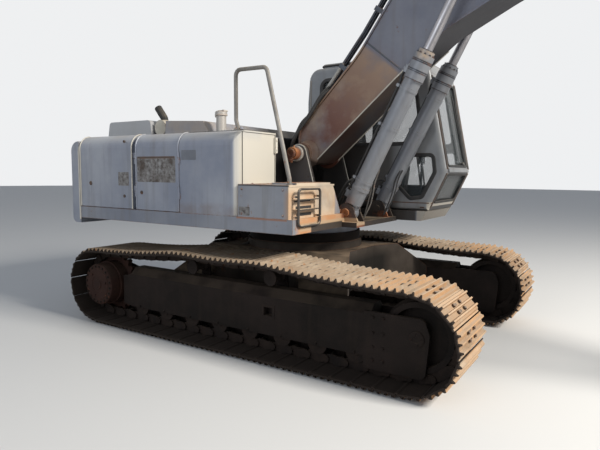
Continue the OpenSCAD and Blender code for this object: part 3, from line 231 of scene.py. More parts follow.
def lathe(profile, centre, axis, sides=24, hollow=False):
    """Point = centre + h*axis + r*(cos t*U + sin t*V) for rows (r, h); ends closed, or joined if hollow."""
    profile = np.asarray(profile, float)
    w = np.asarray(axis, float) / np.linalg.norm(axis)
    u = np.cross(w, [0.31, 0.17, 0.93])
    u /= np.linalg.norm(u)
    v = np.cross(w, u)
    t = np.arange(sides) * 2 * np.pi / sides
    ring = np.cos(t)[:, None] * u + np.sin(t)[:, None] * v
    points = np.asarray(centre) + profile[:, None, 1:] * w + profile[:, None, :1] * ring[None]
    faces = ring_faces(len(profile), sides, hollow)
    if not hollow:
        faces += [list(range(sides))[::-1], [(len(profile) - 1) * sides + k for k in range(sides)]]
    return points.reshape(-1, 3), faces


def bolt(centre, axis, radius=14.0, height=11.0):
    """A bolt head on its washer: a six-sided prism with a chamfered top."""
    head = lathe([(radius, 2), (radius, height), (radius * 0.8, height + 3)], centre, axis, 6)
    washer = lathe([(radius * 1.35, -2), (radius * 1.35, 3)], centre, axis, 12)
    return join(head, washer)


def join(*parts):
    """Points and faces of several parts as one, each face's numbers moved on by the points before it."""
    points, faces, start = [], [], 0
    for p, f in parts:
        points.append(np.asarray(p, float))
        faces += [[start + k for k in face] for face in f]
        start += len(p)
    return np.vstack(points), faces


def mirrored(part):
    """The part mirrored to the machine's other side, its faces turned to point outwards again."""
    points, faces = part
    return points * np.array([1, -1, 1.0]), [f[::-1] for f in faces]


def turned(part, at, angle):
    """A part drawn along X, turned by an angle in the side view, its zero moved to the point at."""
    points, faces = part
    c, s = math.cos(math.radians(angle)), math.sin(math.radians(angle))
    x, y, z = np.asarray(points, float).T
    return np.column_stack([at[0] + c * x - s * z, y, at[1] + s * x + c * z]), faces


def moved(part, by):
    """The part moved by a vector."""
    return part[0] + np.asarray(by, float), part[1]


def both_sides(part):
    """A part and its mirror image."""
    return join(part, mirrored(part))


def repeat(part, places):
    """Copies of a part, one for each 4 x 4 matrix: point = matrix * part's point."""
    points, faces = part
    copies = np.einsum("kij,nj->kni", places[:, :3, :3], points) + places[:, None, :3, 3]
    return copies.reshape(-1, 3), [[k * len(points) + i for i in f] for k in range(len(places))
                                   for f in faces]


def hose_across(name, part, material):
    """A hose as one piece that rides on no body, its place baked into its points."""
    obj = piece(name, part, material, None)
    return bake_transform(obj)


def piece(name, part, material, body):
    """Makes the mesh object with its material at the origin and lets it ride on its body, if it has one."""
    points, faces = part
    assert np.isfinite(points).all(), name
    points = points / 1000 + np.array([slew_x, 0, 0])
    mesh = bpy.data.meshes.new(name)
    mesh.from_pydata([tuple(p) for p in points.tolist()], [], faces)
    mesh.validate()
    mesh.materials.append(material)
    mesh.shade_smooth()
    mesh.set_sharp_from_angle(angle=math.radians(SHARP_ANGLE))
    obj = bpy.data.objects.new(name, mesh)
    bpy.context.scene.collection.objects.link(obj)
    if body:
        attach(obj, body)
    return obj


# %% [markdown]
# ## Shared effects
# Paint outdoors ages in a few ways that come back on every part: large faded blotches, streaks that rain
# draws downwards, chips and rust along edges, and dust on all that faces up. Each is one node group, so
# that every material can use it with its own strength.

# %% Node helpers
def add(tree, kind, inputs=None, **settings):
    """A node with its settings, and its inputs linked or set by name or number."""
    node = tree.nodes.new(kind)
    for key, value in settings.items():
        setattr(node, key, value)
    for key, value in (inputs or {}).items():
        if isinstance(value, bpy.types.NodeSocket):
            tree.links.new(value, node.inputs[key])
        else:
            node.inputs[key].default_value = value
    return node


def mask_group(name, **inputs):
    """An empty node group with numbers going in and one mask coming out."""
    tree = bpy.data.node_groups.new(name, "ShaderNodeTree")
    for label, value in inputs.items():
        socket = tree.interface.new_socket(name=label, in_out="INPUT", socket_type="NodeSocketFloat")
        socket.default_value = value
    tree.interface.new_socket(name="Mask", in_out="OUTPUT", socket_type="NodeSocketFloat")
    return tree, tree.nodes.new("NodeGroupInput").outputs, tree.nodes.new("NodeGroupOutput").inputs["Mask"]


def maths(tree, operation, a, b):
    """The result of one sum, product or greater value."""
    return add(tree, "ShaderNodeMath", {0: a, 1: b}, operation=operation).outputs[0]


def vectors(tree, operation, a, b=(0, 0, 0), output="Vector"):
    """The result of one operation on two vectors."""
    return add(tree, "ShaderNodeVectorMath", {0: a, 1: b}, operation=operation).outputs[output]


def spread(tree, value, low, high, to_low=0.0, to_high=1.0):
    """The value's span from low to high laid over another span, and held at its ends."""
    return add(tree, "ShaderNodeMapRange", {"Value": value, "From Min": low, "From Max": high,
                                            "To Min": to_low, "To Max": to_high}).outputs["Result"]


def here(tree, socket="Object"):
    """The shaded point's own place, or its normal."""
    return add(tree, "ShaderNodeTexCoord").outputs[socket]


def noise(tree, place, scale, detail, roughness=0.5):
    """Fractal noise at a place."""
    return add(tree, "ShaderNodeTexNoise", {"Vector": place, "Scale": scale, "Detail": detail,
                                            "Roughness": roughness}).outputs["Fac"]


def facing(tree, low, high):
    """The normal's upward share spread from 0 at low to 1 at high."""
    up = add(tree, "ShaderNodeSeparateXYZ", {0: here(tree, "Normal")}).outputs["Z"]
    return spread(tree, up, low, high)


# %% Blotches and streaks
def noise_mask(name, stretch, detail):
    """Mask = noise of the stretched place, spread from 0 at Low to 1 at High."""
    tree, given, mask = mask_group(name, Scale=3.0, Low=0.45, High=0.65)
    stretched = vectors(tree, "MULTIPLY", here(tree), stretch)
    cloud = noise(tree, stretched, given["Scale"], detail, 0.62)
    tree.links.new(spread(tree, cloud, given["Low"], given["High"]), mask)
    return tree


blotches = noise_mask("blotches", (1, 1, 1), 5.0)
rain_streaks = noise_mask("rain streaks", (1, 1, 0.07), 4.0)

# %% Edge wear, dust and painted underside shade
def edge_wear_group():
    """Mask is high where a rounded normal differs from the true one, broken up by noise."""
    tree, given, mask = mask_group("edge wear", Radius=0.012, Scale=14.0, Amount=0.5)
    rounded_normal = add(tree, "ShaderNodeBevel", {"Radius": given["Radius"]}, samples=4).outputs["Normal"]
    true_normal = add(tree, "ShaderNodeNewGeometry").outputs["Normal"]
    edge = spread(tree, vectors(tree, "DOT_PRODUCT", rounded_normal, true_normal, "Value"), 0.995, 0.8)
    cloud = noise(tree, here(tree), given["Scale"], 6.0, 0.7)
    raised = maths(tree, "ADD", maths(tree, "MULTIPLY", edge, given["Amount"]), cloud)
    tree.links.new(spread(tree, raised, 0.66, 0.78), mask)
    return tree


def dust_group():
    """Mask is high where the surface faces up, thinned by noise."""
    tree, given, mask = mask_group("dust", Amount=0.6, Scale=4.0)
    thin = spread(tree, noise(tree, here(tree), given["Scale"], 5.0), 0.3, 0.6)
    settled = maths(tree, "MULTIPLY", facing(tree, 0.25, 0.95), thin)
    tree.links.new(maths(tree, "MULTIPLY", settled, given["Amount"]), mask)
    return tree


def underside_group():
    """Mask is high where the surface faces down: painted shade under things."""
    tree, given, mask = mask_group("underside", Amount=0.9)
    tree.links.new(maths(tree, "MULTIPLY", facing(tree, -0.45, -0.62), given["Amount"]), mask)
    return tree


edge_wear = edge_wear_group()
underside = underside_group()
dust = dust_group()
print("shared effects:", [g.name for g in bpy.data.node_groups])

# %% [markdown]
# ## Finishes
# One function lays the effects over a base colour: fading first, then rain streaks, rust at the edges and in
# spots, then zones of colour, several of them painted shade, painted shadow and painted sunlight, then dust,
# painted shade on faces that point down, and last faces marked with painted shade and grime. Only the numbers
# differ between finishes.

# %% Layered finish
def mix(tree, mask, below, above):
    """Colour above laid over below by the mask."""
    node = add(tree, "ShaderNodeMix", {0: mask}, data_type="RGBA")
    for socket, value in ((node.inputs[6], below), (node.inputs[7], above)):
        if isinstance(value, bpy.types.NodeSocket):
            tree.links.new(value, socket)
        else:
            socket.default_value = (*value, 1)
    return node.outputs[2]


def layer(tree, group, **inputs):
    """A placed group's mask."""
    return add(tree, "ShaderNodeGroup", inputs, node_tree=group).outputs["Mask"]


def near(tree, point, inner, outer):
    """Mask that falls from 1 within inner of a point to 0 at outer."""
    return spread(tree, vectors(tree, "DISTANCE", here(tree), tuple(point), "Value"), outer, inner)


def box_mask(tree, low, high, reach):
    """1 inside a box between two corners in mm, falling to 0 over the two distances of reach from it."""
    place = here(tree)
    short = vectors(tree, "SUBTRACT", tuple(machine(*low)), place)
    over = vectors(tree, "SUBTRACT", place, tuple(machine(*high)))
    away = vectors(tree, "MAXIMUM", vectors(tree, "MAXIMUM", short, over))
    distance = vectors(tree, "LENGTH", away, output="Value")
    return spread(tree, distance, reach[1] / 1000, reach[0] / 1000)


def empty_material(name):
    """A new material and its node tree, with no node in it."""
    material = bpy.data.materials.new(name)
    material.use_nodes = True
    material.node_tree.nodes.clear()
    return material, material.node_tree


# Near black colour of the painted shade on faces that point down.
UNDERSIDE_SHADE_COLOUR = (0.016, 0.013, 0.012)


def finish(name, base, fade, stain, rust=(0.16, 0.065, 0.03), rust_amount=0.5, rust_spots=0.72,
           streaks=0.5, dusty=(0.33, 0.27, 0.2), dust_amount=0.5, metallic=0.0, roughness=0.5, grain=0.15,
           blotch_scale=1.3, hot_spots=(), shade_and_grime_colour=None, zones=(), below=0.0, shine=0.5):
    """Weathered finish: base and faded paint, stains, rust, zones (several of them painted light and shade),
    dust, painted shade on undersides, and marked faces of painted shade and grime.
    """
    material, tree = empty_material(name)
    color = mix(tree, layer(tree, blotches, Scale=blotch_scale, Low=0.35, High=0.68), base, fade)
    wet = maths(tree, "MULTIPLY", layer(tree, rain_streaks, Scale=9.0, Low=0.5, High=0.75), streaks)
    color = mix(tree, wet, color, stain)
    spots = layer(tree, blotches, Scale=7.0, Low=rust_spots - 0.04, High=rust_spots + 0.03)
    rusty = maths(tree, "MAXIMUM", spots, layer(tree, edge_wear, Amount=rust_amount))
    for point, inner, outer, strength in hot_spots:
        patch = maths(tree, "MULTIPLY", near(tree, point, inner, outer),
                      layer(tree, blotches, Scale=3.2, Low=0.3, High=0.6))
        rusty = maths(tree, "MAXIMUM", rusty, maths(tree, "MULTIPLY", patch, strength))
    rust_shade = mix(tree, layer(tree, blotches, Scale=24.0, Low=0.35, High=0.65), rust,
                     tuple(1.7 * c for c in rust))
    color = mix(tree, rusty, color, rust_shade)
    for low, high, reach, shade, strength, patch_scale in zones:
        mask = maths(tree, "MULTIPLY", box_mask(tree, low, high, reach), strength)
        if patch_scale:
            mask = maths(tree, "MULTIPLY", mask, layer(tree, blotches, Scale=patch_scale, Low=0.36,
                                                       High=0.58))
        color = mix(tree, mask, color, shade)
    settled = layer(tree, dust, Amount=dust_amount)
    color = mix(tree, settled, color, dusty)
    # Faces that point down are darkened: painted shade.
    if below:
        color = mix(tree, layer(tree, underside, Amount=below), color, UNDERSIDE_SHADE_COLOUR)
    # Faces marked in the attribute take a dark colour: painted shade and grime.
    if shade_and_grime_colour:
        marked = add(tree, "ShaderNodeAttribute", attribute_name="grime").outputs["Fac"]
        color = mix(tree, marked, color, shade_and_grime_colour)
    rough = spread(tree, maths(tree, "MAXIMUM", rusty, settled), 0.0, 1.0, roughness, 0.92)
    metal = spread(tree, rusty, 0.0, 1.0, metallic, 0.0) if metallic else 0.0
    place = here(tree)
    pits, dents = noise(tree, place, 90.0, 3.0), noise(tree, place, 2.4, 2.0)
    height = maths(tree, "ADD", pits, maths(tree, "MULTIPLY", dents, 6.0))
    height = maths(tree, "SUBTRACT", height, maths(tree, "MULTIPLY", rusty, 0.6))
    bump = add(tree, "ShaderNodeBump", {"Height": height, "Strength": grain,
                                        "Distance": 0.004}).outputs["Normal"]
    shader = add(tree, "ShaderNodeBsdfPrincipled",
                 {"Base Color": color, "Roughness": rough, "Metallic": metal, "Specular IOR Level": shine,
                  "Normal": bump})
    add(tree, "ShaderNodeOutputMaterial", {"Surface": shader.outputs[0]})
    return material


# %% Painted and bare finishes
arm_pivot = machine(5250, 0, 4200)
# PAINTED_SHADE is the near black that stands for shade in the house and frame.
PAINTED_SHADE, CREAM, BROWN = (0.018, 0.015, 0.013), (0.66, 0.52, 0.36), (0.16, 0.10, 0.065)
# A zone is a box's low and high corner, the two distances over which it fades, a colour, how strong it is,
# and the scale of the blotches that break it up, or 0 where nothing does.
house_zones = [
    # Near black in the middle of the house, below and beside the boom: painted shade.
    ((-200, -811, 1000), (1100, 520, 2096), (2, 20), PAINTED_SHADE, 0.96, 0),
    ((-1188, -1048, 2124), (-532, 950, 2290), (0, 12), (0.35, 0.29, 0.235), 0.85, 2.2),
    ((-2190, -1060, 2128), (-1380, 960, 2300), (0, 12), (0.43, 0.43, 0.43), 0.75, 0),
    ((-500, -1090, 2122), (-320, -910, 2400), (0, 8), (0.42, 0.39, 0.35), 0.85, 0),
    # A pale strip on the tank's rounded front corner: painted highlight.
    ((112, -1430, 1330), (150, -1350, 2100), (0, 22), (0.66, 0.63, 0.57), 0.85, 0),
    ((-1188, 120, 2100), (-150, 950, 2290), (0, 60), (0.05, 0.045, 0.042), 0.9, 0),
    # The tank's front face in cream: painted sunlight on a face that looks forward.
    ((144, -1440, 1612), (160, -815, 2112), (0, 10), (0.62, 0.585, 0.51), 0.9, 0),
    # A paler band widening over the tank's rounded front corner: painted highlight.
    ((60, -1360, 1330), (150, -815, 2112), (0, 60), (0.55, 0.52, 0.46), 0.6, 0),
    # A lighter band along the rounded top edge of the right side: painted highlight.
    ((-2170, -1400, 2080), (140, -1100, 2125), (0, 70), (0.45, 0.455, 0.46), 0.5, 0),
    ((-600, -1426, 1316), (140, -1424, 1380), (5, 60), BROWN, 0.35, 5.0),
]
house_paint = finish("house paint", (0.20, 0.22, 0.275), (0.315, 0.33, 0.37), (0.15, 0.145, 0.15),
                     metallic=0.15, roughness=0.42, rust_amount=0.22, rust_spots=0.77,
                     rust=(0.13, 0.07, 0.045), streaks=0.6, dust_amount=0.3, zones=house_zones, below=0.93)
# A pale cream finish that is a painted highlight on sunlit edges: hems, beads, corners and a bracket.
highlight_paint = finish("painted edge highlight", (0.50, 0.475, 0.42), (0.62, 0.59, 0.52), (0.30, 0.25, 0.2), rust_amount=0.1,
                   rust_spots=0.8, roughness=0.5, streaks=0.4, blotch_scale=6.0)
step_zones = [
    # The step box's front face in tan: painted sunlight on a face that looks forward.
    ((718, -1430, 1300), (745, -600, 1640), (0, 8), (0.54, 0.44, 0.33), 0.95, 0),
    ((718, -1430, 1300), (745, -600, 1540), (0, 60), (0.42, 0.25, 0.135), 0.7, 3.0),
    ((718, -900, 1420), (745, -700, 1600), (0, 100), (0.25, 0.23, 0.21), 0.5, 2.0),
    # Near black just in front of the step box: painted shade.
    ((757, -1430, 1200), (800, -600, 1640), (0, 6), (0.035, 0.028, 0.022), 0.95, 0),
]
step_paint = finish("step box paint", (0.19, 0.20, 0.235), (0.28, 0.29, 0.315), (0.14, 0.125, 0.11),
                    metallic=0.1, roughness=0.6, rust_amount=0.3, rust_spots=0.66, streaks=0.6, dusty=CREAM,
                    dust_amount=0.75, zones=step_zones, below=0.93)
frame_zones = [
    # The frame's middle and left side near black: partly dark paint, partly painted shade.
    ((-2000, -357, 1195), (1000, 1500, 2300), (10, 60), PAINTED_SHADE, 0.95, 0),
    # The frame beside the boom foot's near cheek darker: painted shade.
    ((-150, -470, 1450), (520, -355, 1990), (5, 30), (0.085, 0.07, 0.062), 0.85, 0),
    # The deck's front face below the step box in tan: painted sunlight on a face that looks forward.
    ((716, -1300, 1180), (760, -520, 1330), (0, 30), (0.52, 0.38, 0.24), 0.9, 0),
    # The front face of the platform below the cab, pale: painted sunlight.
    ((1180, 445, 1150), (1330, 1440, 1312), (0, 12), (0.46, 0.42, 0.36), 0.85, 0),
    ((640, -1300, 1180), (1000, -520, 1330), (10, 90), (0.46, 0.21, 0.085), 0.85, 2.6),
    # Near black over the front of the deck between the cylinder bases: painted shadow of the boom.
    ((600, -500, 1195), (1000, 470, 1420), (10, 40), (0.035, 0.02, 0.015), 0.92, 0),
    ((690, -500, 1195), (1000, -200, 1400), (10, 80), (0.27, 0.085, 0.03), 0.9, 3.4),
    ((720, -1300, 1205), (1000, -335, 1265), (0, 12), (0.42, 0.30, 0.19), 0.85, 0),
    # Near black at the deck's middle front: painted shadow of the boom.
    ((600, -325, 1150), (1120, 440, 1420), (0, 20), (0.022, 0.016, 0.013), 0.95, 0),
    ((740, 290, 1225), (900, 440, 1285), (0, 25), (0.36, 0.10, 0.03), 0.8, 6.0),
    # Near black along the foot of the cab's right wall: painted shadow of the boom.
    ((-900, 430, 1150), (1150, 520, 1330), (0, 25), (0.03, 0.025, 0.022), 0.93, 0),
    ((140, -1430, 1300), (700, -1420, 1310), (0, 8), (0.28, 0.13, 0.075), 0.85, 0),
    # Near black under the deck's front edge: painted shade.
    ((700, -1110, 1100), (1000, -520, 1238), (0, 10), (0.02, 0.016, 0.014), 0.95, 0),
]
frame_paint = finish("frame paint", (0.16, 0.175, 0.215), (0.25, 0.26, 0.29), (0.12, 0.105, 0.095),
                     metallic=0.1, roughness=0.6, rust_amount=0.3, rust_spots=0.68,
                     rust=(0.13, 0.065, 0.035), streaks=0.5, dusty=CREAM, dust_amount=0.3,
                     zones=frame_zones, below=0.95)
cab_zones = [
    # The cab's right wall below the window near black: painted shadow of the boom.
    ((-400, 470, 1300), (820, 540, 2040), (0, 170), (0.03, 0.025, 0.022), 0.93, 0),
    # Inside the cab, in this box and the next, near black: dark trim, darkened further as painted shade.
    ((-250, 545, 1358), (1225, 1375, 2953), (0, 8), (0.028, 0.027, 0.027), 0.95, 0),
    ((1200, 545, 1420), (1400, 1375, 2200), (0, 8), (0.028, 0.027, 0.027), 0.95, 0),
    # A pale strip along the cab's lower front: painted sunlight.
    ((1290, 500, 1310), (1420, 1440, 1402), (0, 8), (0.50, 0.46, 0.39), 0.8, 0),
]
cab_paint = finish("cab paint", (0.19, 0.20, 0.215), (0.29, 0.295, 0.30), (0.12, 0.105, 0.09), metallic=0.2,
                   roughness=0.45, rust_amount=0.22, rust_spots=0.76, rust=(0.10, 0.065, 0.045),
                   streaks=0.5, dust_amount=0.3, zones=cab_zones, below=0.8)
seam_side = (-1445, 0, -240)
foot = (165, 0, 1926)
boom_zones = [
    (seam_side, seam_side, (3960, 3990), (0.30, 0.20, 0.125), 0.88, 1.2),
    (foot, foot, (500, 1450), (0.115, 0.036, 0.022), 0.95, 2.2),
]
boom_paint = finish("boom paint", (0.105, 0.113, 0.15), (0.165, 0.17, 0.20), (0.10, 0.085, 0.075),
                    metallic=0.15, roughness=0.48, rust_amount=0.25, rust_spots=0.72, streaks=0.45,
                    rust=(0.11, 0.055, 0.035), hot_spots=[(arm_pivot, 0.1, 0.4, 0.7)], below=0.75,
                    zones=boom_zones)
cylinder_zones = [
    ((1535, -480, 2810), (1565, -280, 2840), (30, 75), (0.44, 0.33, 0.23), 0.9, 6.0),
    ((760, -480, 1300), (790, -280, 1340), (60, 170), (0.34, 0.12, 0.045), 0.9, 3.5),
]
cylinder_paint = finish("cylinder paint", (0.165, 0.175, 0.20), (0.245, 0.255, 0.275), (0.12, 0.10, 0.09),
                        metallic=0.25, roughness=0.42, rust=(0.07, 0.05, 0.04), rust_amount=0.2,
                        rust_spots=0.76, streaks=0.4, zones=cylinder_zones)
# Nearly black: the undercarriage's dark paint, darkened further as painted shade under the house.
undercarriage_paint = finish("undercarriage paint", (0.009, 0.007, 0.006), (0.020, 0.014, 0.012),
                             (0.028, 0.019, 0.014), rust=(0.035, 0.016, 0.011), rust_amount=0.1,
                             rust_spots=0.8, streaks=0.4, dusty=(0.12, 0.09, 0.065), dust_amount=0.5,
                             roughness=0.8, grain=0.5, blotch_scale=2.5, shine=0.15)
carbody_shade_zones = [
    # The carbody's middle between the tracks near black: painted shade under the house.
    ((-3000, -420, 0), (3000, 420, 760), (0, 120), (0.008, 0.007, 0.006), 0.9, 0),
]
carbody_paint = finish("carbody paint", (0.035, 0.028, 0.023), (0.065, 0.052, 0.043), (0.04, 0.028, 0.02),
                       rust=(0.09, 0.04, 0.022), rust_amount=0.4, streaks=0.5, dusty=(0.24, 0.175, 0.12),
                       dust_amount=0.85, roughness=0.8, grain=0.5, blotch_scale=3.0, shine=0.2,
                       zones=carbody_shade_zones, below=0.9)
drive_paint = finish("final drive", (0.024, 0.0115, 0.009), (0.040, 0.019, 0.014), (0.02, 0.014, 0.012),
                     rust_amount=0.1, dusty=(0.10, 0.075, 0.055), dust_amount=0.4, roughness=0.8, grain=0.6,
                     blotch_scale=5.0, shine=0.15)
shoe_zones = [
    ((1750, -1700, 0), (2600, 1700, 1100), (0, 500), (0.44, 0.245, 0.115), 0.75, 4.0),
]
# The marked faces of the shoes take near black: painted shade, with grime under the plates.
shoe_steel = finish("shoe steel", (0.28, 0.20, 0.135), (0.40, 0.32, 0.24), (0.12, 0.08, 0.055),
                    rust=(0.24, 0.12, 0.055), rust_amount=0.1, rust_spots=0.66, streaks=0.3,
                    dusty=(0.42, 0.36, 0.285), dust_amount=0.55, roughness=0.85, grain=0.7,
                    blotch_scale=5.0, shade_and_grime_colour=(0.020, 0.014, 0.011), shine=0.25, zones=shoe_zones)
chain_steel = finish("chain steel", (0.012, 0.009, 0.008), (0.028, 0.019, 0.015), (0.035, 0.022, 0.016),
                     rust_amount=0.0, rust_spots=0.7, rust=(0.05, 0.025, 0.015), dusty=(0.10, 0.075, 0.055),
                     dust_amount=0.4, roughness=0.8, grain=0.5, blotch_scale=6.0, shine=0.15)
bucket_steel = finish("bucket steel", (0.14, 0.12, 0.105), (0.22, 0.19, 0.165), (0.1, 0.07, 0.05),
                      rust_amount=0.35, rust_spots=0.62, metallic=0.35, roughness=0.55, grain=0.5,
                      blotch_scale=2.2)
rusty_steel = finish("rusty steel", (0.19, 0.105, 0.065), (0.28, 0.165, 0.11), (0.10, 0.05, 0.03),
                     rust_amount=0.2, streaks=0.6, roughness=0.85, grain=0.7, blotch_scale=6.0)
sooty_iron = finish("sooty iron", (0.03, 0.027, 0.025), (0.09, 0.075, 0.065), (0.13, 0.07, 0.045),
                    rust_amount=0.3, roughness=0.7, grain=0.5, blotch_scale=4.0)
pale_iron = finish("pale iron", (0.42, 0.40, 0.36), (0.55, 0.53, 0.49), (0.25, 0.18, 0.13), rust_amount=0.3,
                   roughness=0.6, grain=0.4, blotch_scale=4.0)
rail_steel = finish("rail steel", (0.15, 0.14, 0.13), (0.24, 0.225, 0.205), (0.11, 0.085, 0.065),
                    rust_amount=0.15, rust_spots=0.66, metallic=0.3, roughness=0.5, blotch_scale=6.0)
dark_steel = finish("dark steel pipe", (0.035, 0.04, 0.05), (0.07, 0.078, 0.095), (0.05, 0.042, 0.036),
                    rust_amount=0.2, rust_spots=0.74, metallic=0.5, roughness=0.42, blotch_scale=8.0,
                    dust_amount=0.25)
pin_end_shade_zones = [
    # The foot pin's end disc, facing the machine's right, dark red-brown: painted shade.
    ((100, -700, 1840), (240, -555, 2000), (0, 8), (0.085, 0.030, 0.018), 0.9, 0),
]
orange_rust = finish("orange rust", (0.30, 0.105, 0.035), (0.20, 0.07, 0.03), (0.10, 0.045, 0.025),
                     rust=(0.36, 0.14, 0.045), rust_amount=0.3, rust_spots=0.55, streaks=0.6,
                     roughness=0.88, grain=0.8, blotch_scale=9.0, zones=pin_end_shade_zones)
muffler_zones = [
    ((-1600, -1010, 2304), (-1100, -890, 2700), (0, 10), (0.008, 0.008, 0.008), 1.0, 0),
]
muffler_iron = finish("muffler iron", (0.42, 0.38, 0.31), (0.58, 0.54, 0.46), (0.25, 0.19, 0.13),
                      rust_amount=0.2, rust=(0.20, 0.14, 0.09), rust_spots=0.68, roughness=0.7, grain=0.5,
                      blotch_scale=5.0, zones=muffler_zones)
hose_rubber = finish("hose rubber", (0.018, 0.018, 0.019), (0.045, 0.043, 0.042), (0.08, 0.065, 0.05),
                     rust_amount=0.0, rust_spots=0.95, roughness=0.6, blotch_scale=6.0, dust_amount=0.4)
seal_rubber = finish("seal rubber", (0.012, 0.012, 0.013), (0.025, 0.025, 0.026), (0.06, 0.05, 0.045),
                     rust_amount=0.0, rust_spots=0.95, roughness=0.65, blotch_scale=8.0, dust_amount=0.25)
dark_plastic = finish("dark plastic", (0.03, 0.031, 0.033), (0.05, 0.05, 0.05), (0.08, 0.07, 0.06),
                      rust_amount=0.0, rust_spots=0.95, roughness=0.55, blotch_scale=5.0)
seat_fabric = finish("seat fabric", (0.045, 0.047, 0.052), (0.07, 0.07, 0.075), (0.04, 0.035, 0.03),
                     rust_amount=0.0, rust_spots=0.95, roughness=0.9, grain=0.9, blotch_scale=4.0)


# %% Chrome and glass
def plain(name, color, metallic, roughness, noise_scale, roughness_span, transmission=0.0, alpha=1.0,
          smeared=0.72):
    """A clean finish whose roughness and colour vary a little with fine noise."""
    material, tree = empty_material(name)
    smear = layer(tree, rain_streaks, Scale=noise_scale, Low=0.35, High=0.7)
    tint = mix(tree, smear, color, tuple(smeared * c + 0.02 for c in color))
    rough = spread(tree, smear, 0.0, 1.0, roughness, roughness + roughness_span)
    shader = add(tree, "ShaderNodeBsdfPrincipled",
                 {"Base Color": tint, "Roughness": rough, "Metallic": metallic,
                  "Transmission Weight": transmission, "Alpha": alpha})
    add(tree, "ShaderNodeOutputMaterial", {"Surface": shader.outputs[0]})
    return material


chromed_rod = plain("chromed rod", (0.36, 0.35, 0.37), 0.9, 0.26, 12.0, 0.2)
window_glass = plain("window glass", (0.13, 0.15, 0.16), 0.0, 0.02, 3.0, 0.05, transmission=0.25,
                     alpha=0.26, smeared=0.9)

# %% Finishes of the CAD nodes
FINISHES = {house_paint: ["counterweight", "hood", "tank", "door_right_rear", "door_right_front",
                          "door_left", "hood_lid"], step_paint: ["step_box"],
            frame_paint: ["revolving_frame"], cab_paint: ["cab_roof", "cab_wall_right", "cab_wall_rear",
                                                          "cab_front", "cab_wall_left", "cab_door"],
            boom_paint: ["boom", "arm", "tilt_levers", "connecting_link"],
            cylinder_paint: ["boom_cylinder_tubes", "arm_cylinder_tube", "bucket_cylinder_tube"],
            chromed_rod: ["boom_cylinder_rods", "arm_cylinder_rod", "bucket_cylinder_rod"],
            undercarriage_paint: ["slew_ring", "track_frame_right", "track_frame_left", "idlers",
                                  "carrier_rollers"], chain_steel: ["bottom_rollers"],
            carbody_paint: ["carbody"], drive_paint: ["sprockets"],
            shoe_steel: ["track_right", "track_left"], bucket_steel: ["bucket"], sooty_iron: ["engine"],
            muffler_iron: ["exhaust"], rail_steel: ["handrail"], dark_steel: ["boom_pipes"],
            window_glass: ["cab_glass", "cab_door_glass"], dark_plastic: ["consoles", "cab_floor"],
            seat_fabric: ["seat"],}
for material, names in FINISHES.items():
    for name in names:
        nodes[name].data.materials.clear()
        nodes[name].data.materials.append(material)
print("nodes with a finish:", sum(len(n) for n in FINISHES.values()), "of", len(nodes))

# %% [markdown]
# ## Tracks
# A track is a chain of forged links with a pressed shoe bolted to each. The CAD model holds it as one
# loop. Here the loop's line of pins is worked out again, pins are laid along it one pitch apart, and one
# link and one shoe are copied between each pin and the next. So the shoes open like a fan round idler and
# sprocket, as real ones do.

# %% Line of the link pins
PIN_R, WHEEL_X, WHEEL_Z, TRACK_Y, SHOES, SAG = 340.0, 1875.0, 430.0, 1195.0, 50, 22.0
CARRIERS = [(430.0, 849.0), (-560.0, 849.0)]


def wheel_arc(x, start, end):
    """Pins' path round a wheel: (x + r cos t, z + r sin t)."""
    t = np.radians(np.linspace(start, end, 60))
    return np.column_stack([x + PIN_R * np.cos(t), WHEEL_Z + PIN_R * np.sin(t)])


def sagging(a, b):
    """Straight line from a to b, lowered by 4 sag t (1 - t)."""
    t = np.linspace(0, 1, 14)[1:, None]
    return np.asarray(a) + (np.asarray(b) - a) * t - np.array([0, 4 * SAG]) * t * (1 - t)


front_wrap, rear_wrap = wheel_arc(WHEEL_X, -90, 88), wheel_arc(-WHEEL_X, 92, 270)
pin_line = np.vstack([front_wrap, sagging(front_wrap[-1], CARRIERS[0]), sagging(*CARRIERS),
                      sagging(CARRIERS[1], rear_wrap[0]), rear_wrap[1:], front_wrap[:1]])
run = np.concatenate([[0], np.cumsum(np.linalg.norm(np.diff(pin_line, axis=0), axis=1))])
PITCH = run[-1] / SHOES
# One pin lies between two teeth at the back of the sprocket
tooth_gap = run[len(pin_line) - len(rear_wrap)] + PIN_R * math.radians(171.8 - 92)
along_line = (tooth_gap % PITCH + PITCH * np.arange(SHOES + 1)) % run[-1]
pins = np.column_stack([np.interp(along_line, run, pin_line[:, 0]),
                        np.interp(along_line, run, pin_line[:, 1])])
print("track pitch:", round(PITCH, 2), "mm, pins:", SHOES)


def link_places(side):
    """Matrices of columns: the way along the chain, the machine's right, the way outwards, the middle."""
    step = np.diff(pins, axis=0)
    step /= np.linalg.norm(step, axis=1)[:, None]
    middle = (pins[1:] + pins[:-1]) / 2
    places = np.tile(np.eye(4), (SHOES, 1, 1))
    places[:, 0, 0], places[:, 2, 0] = step[:, 0], step[:, 1]
    places[:, 1, 1] = -1
    places[:, 0, 2], places[:, 2, 2] = step[:, 1], -step[:, 0]
    places[:, 0, 3], places[:, 1, 3], places[:, 2, 3] = middle[:, 0], side * TRACK_Y, middle[:, 1]
    return places


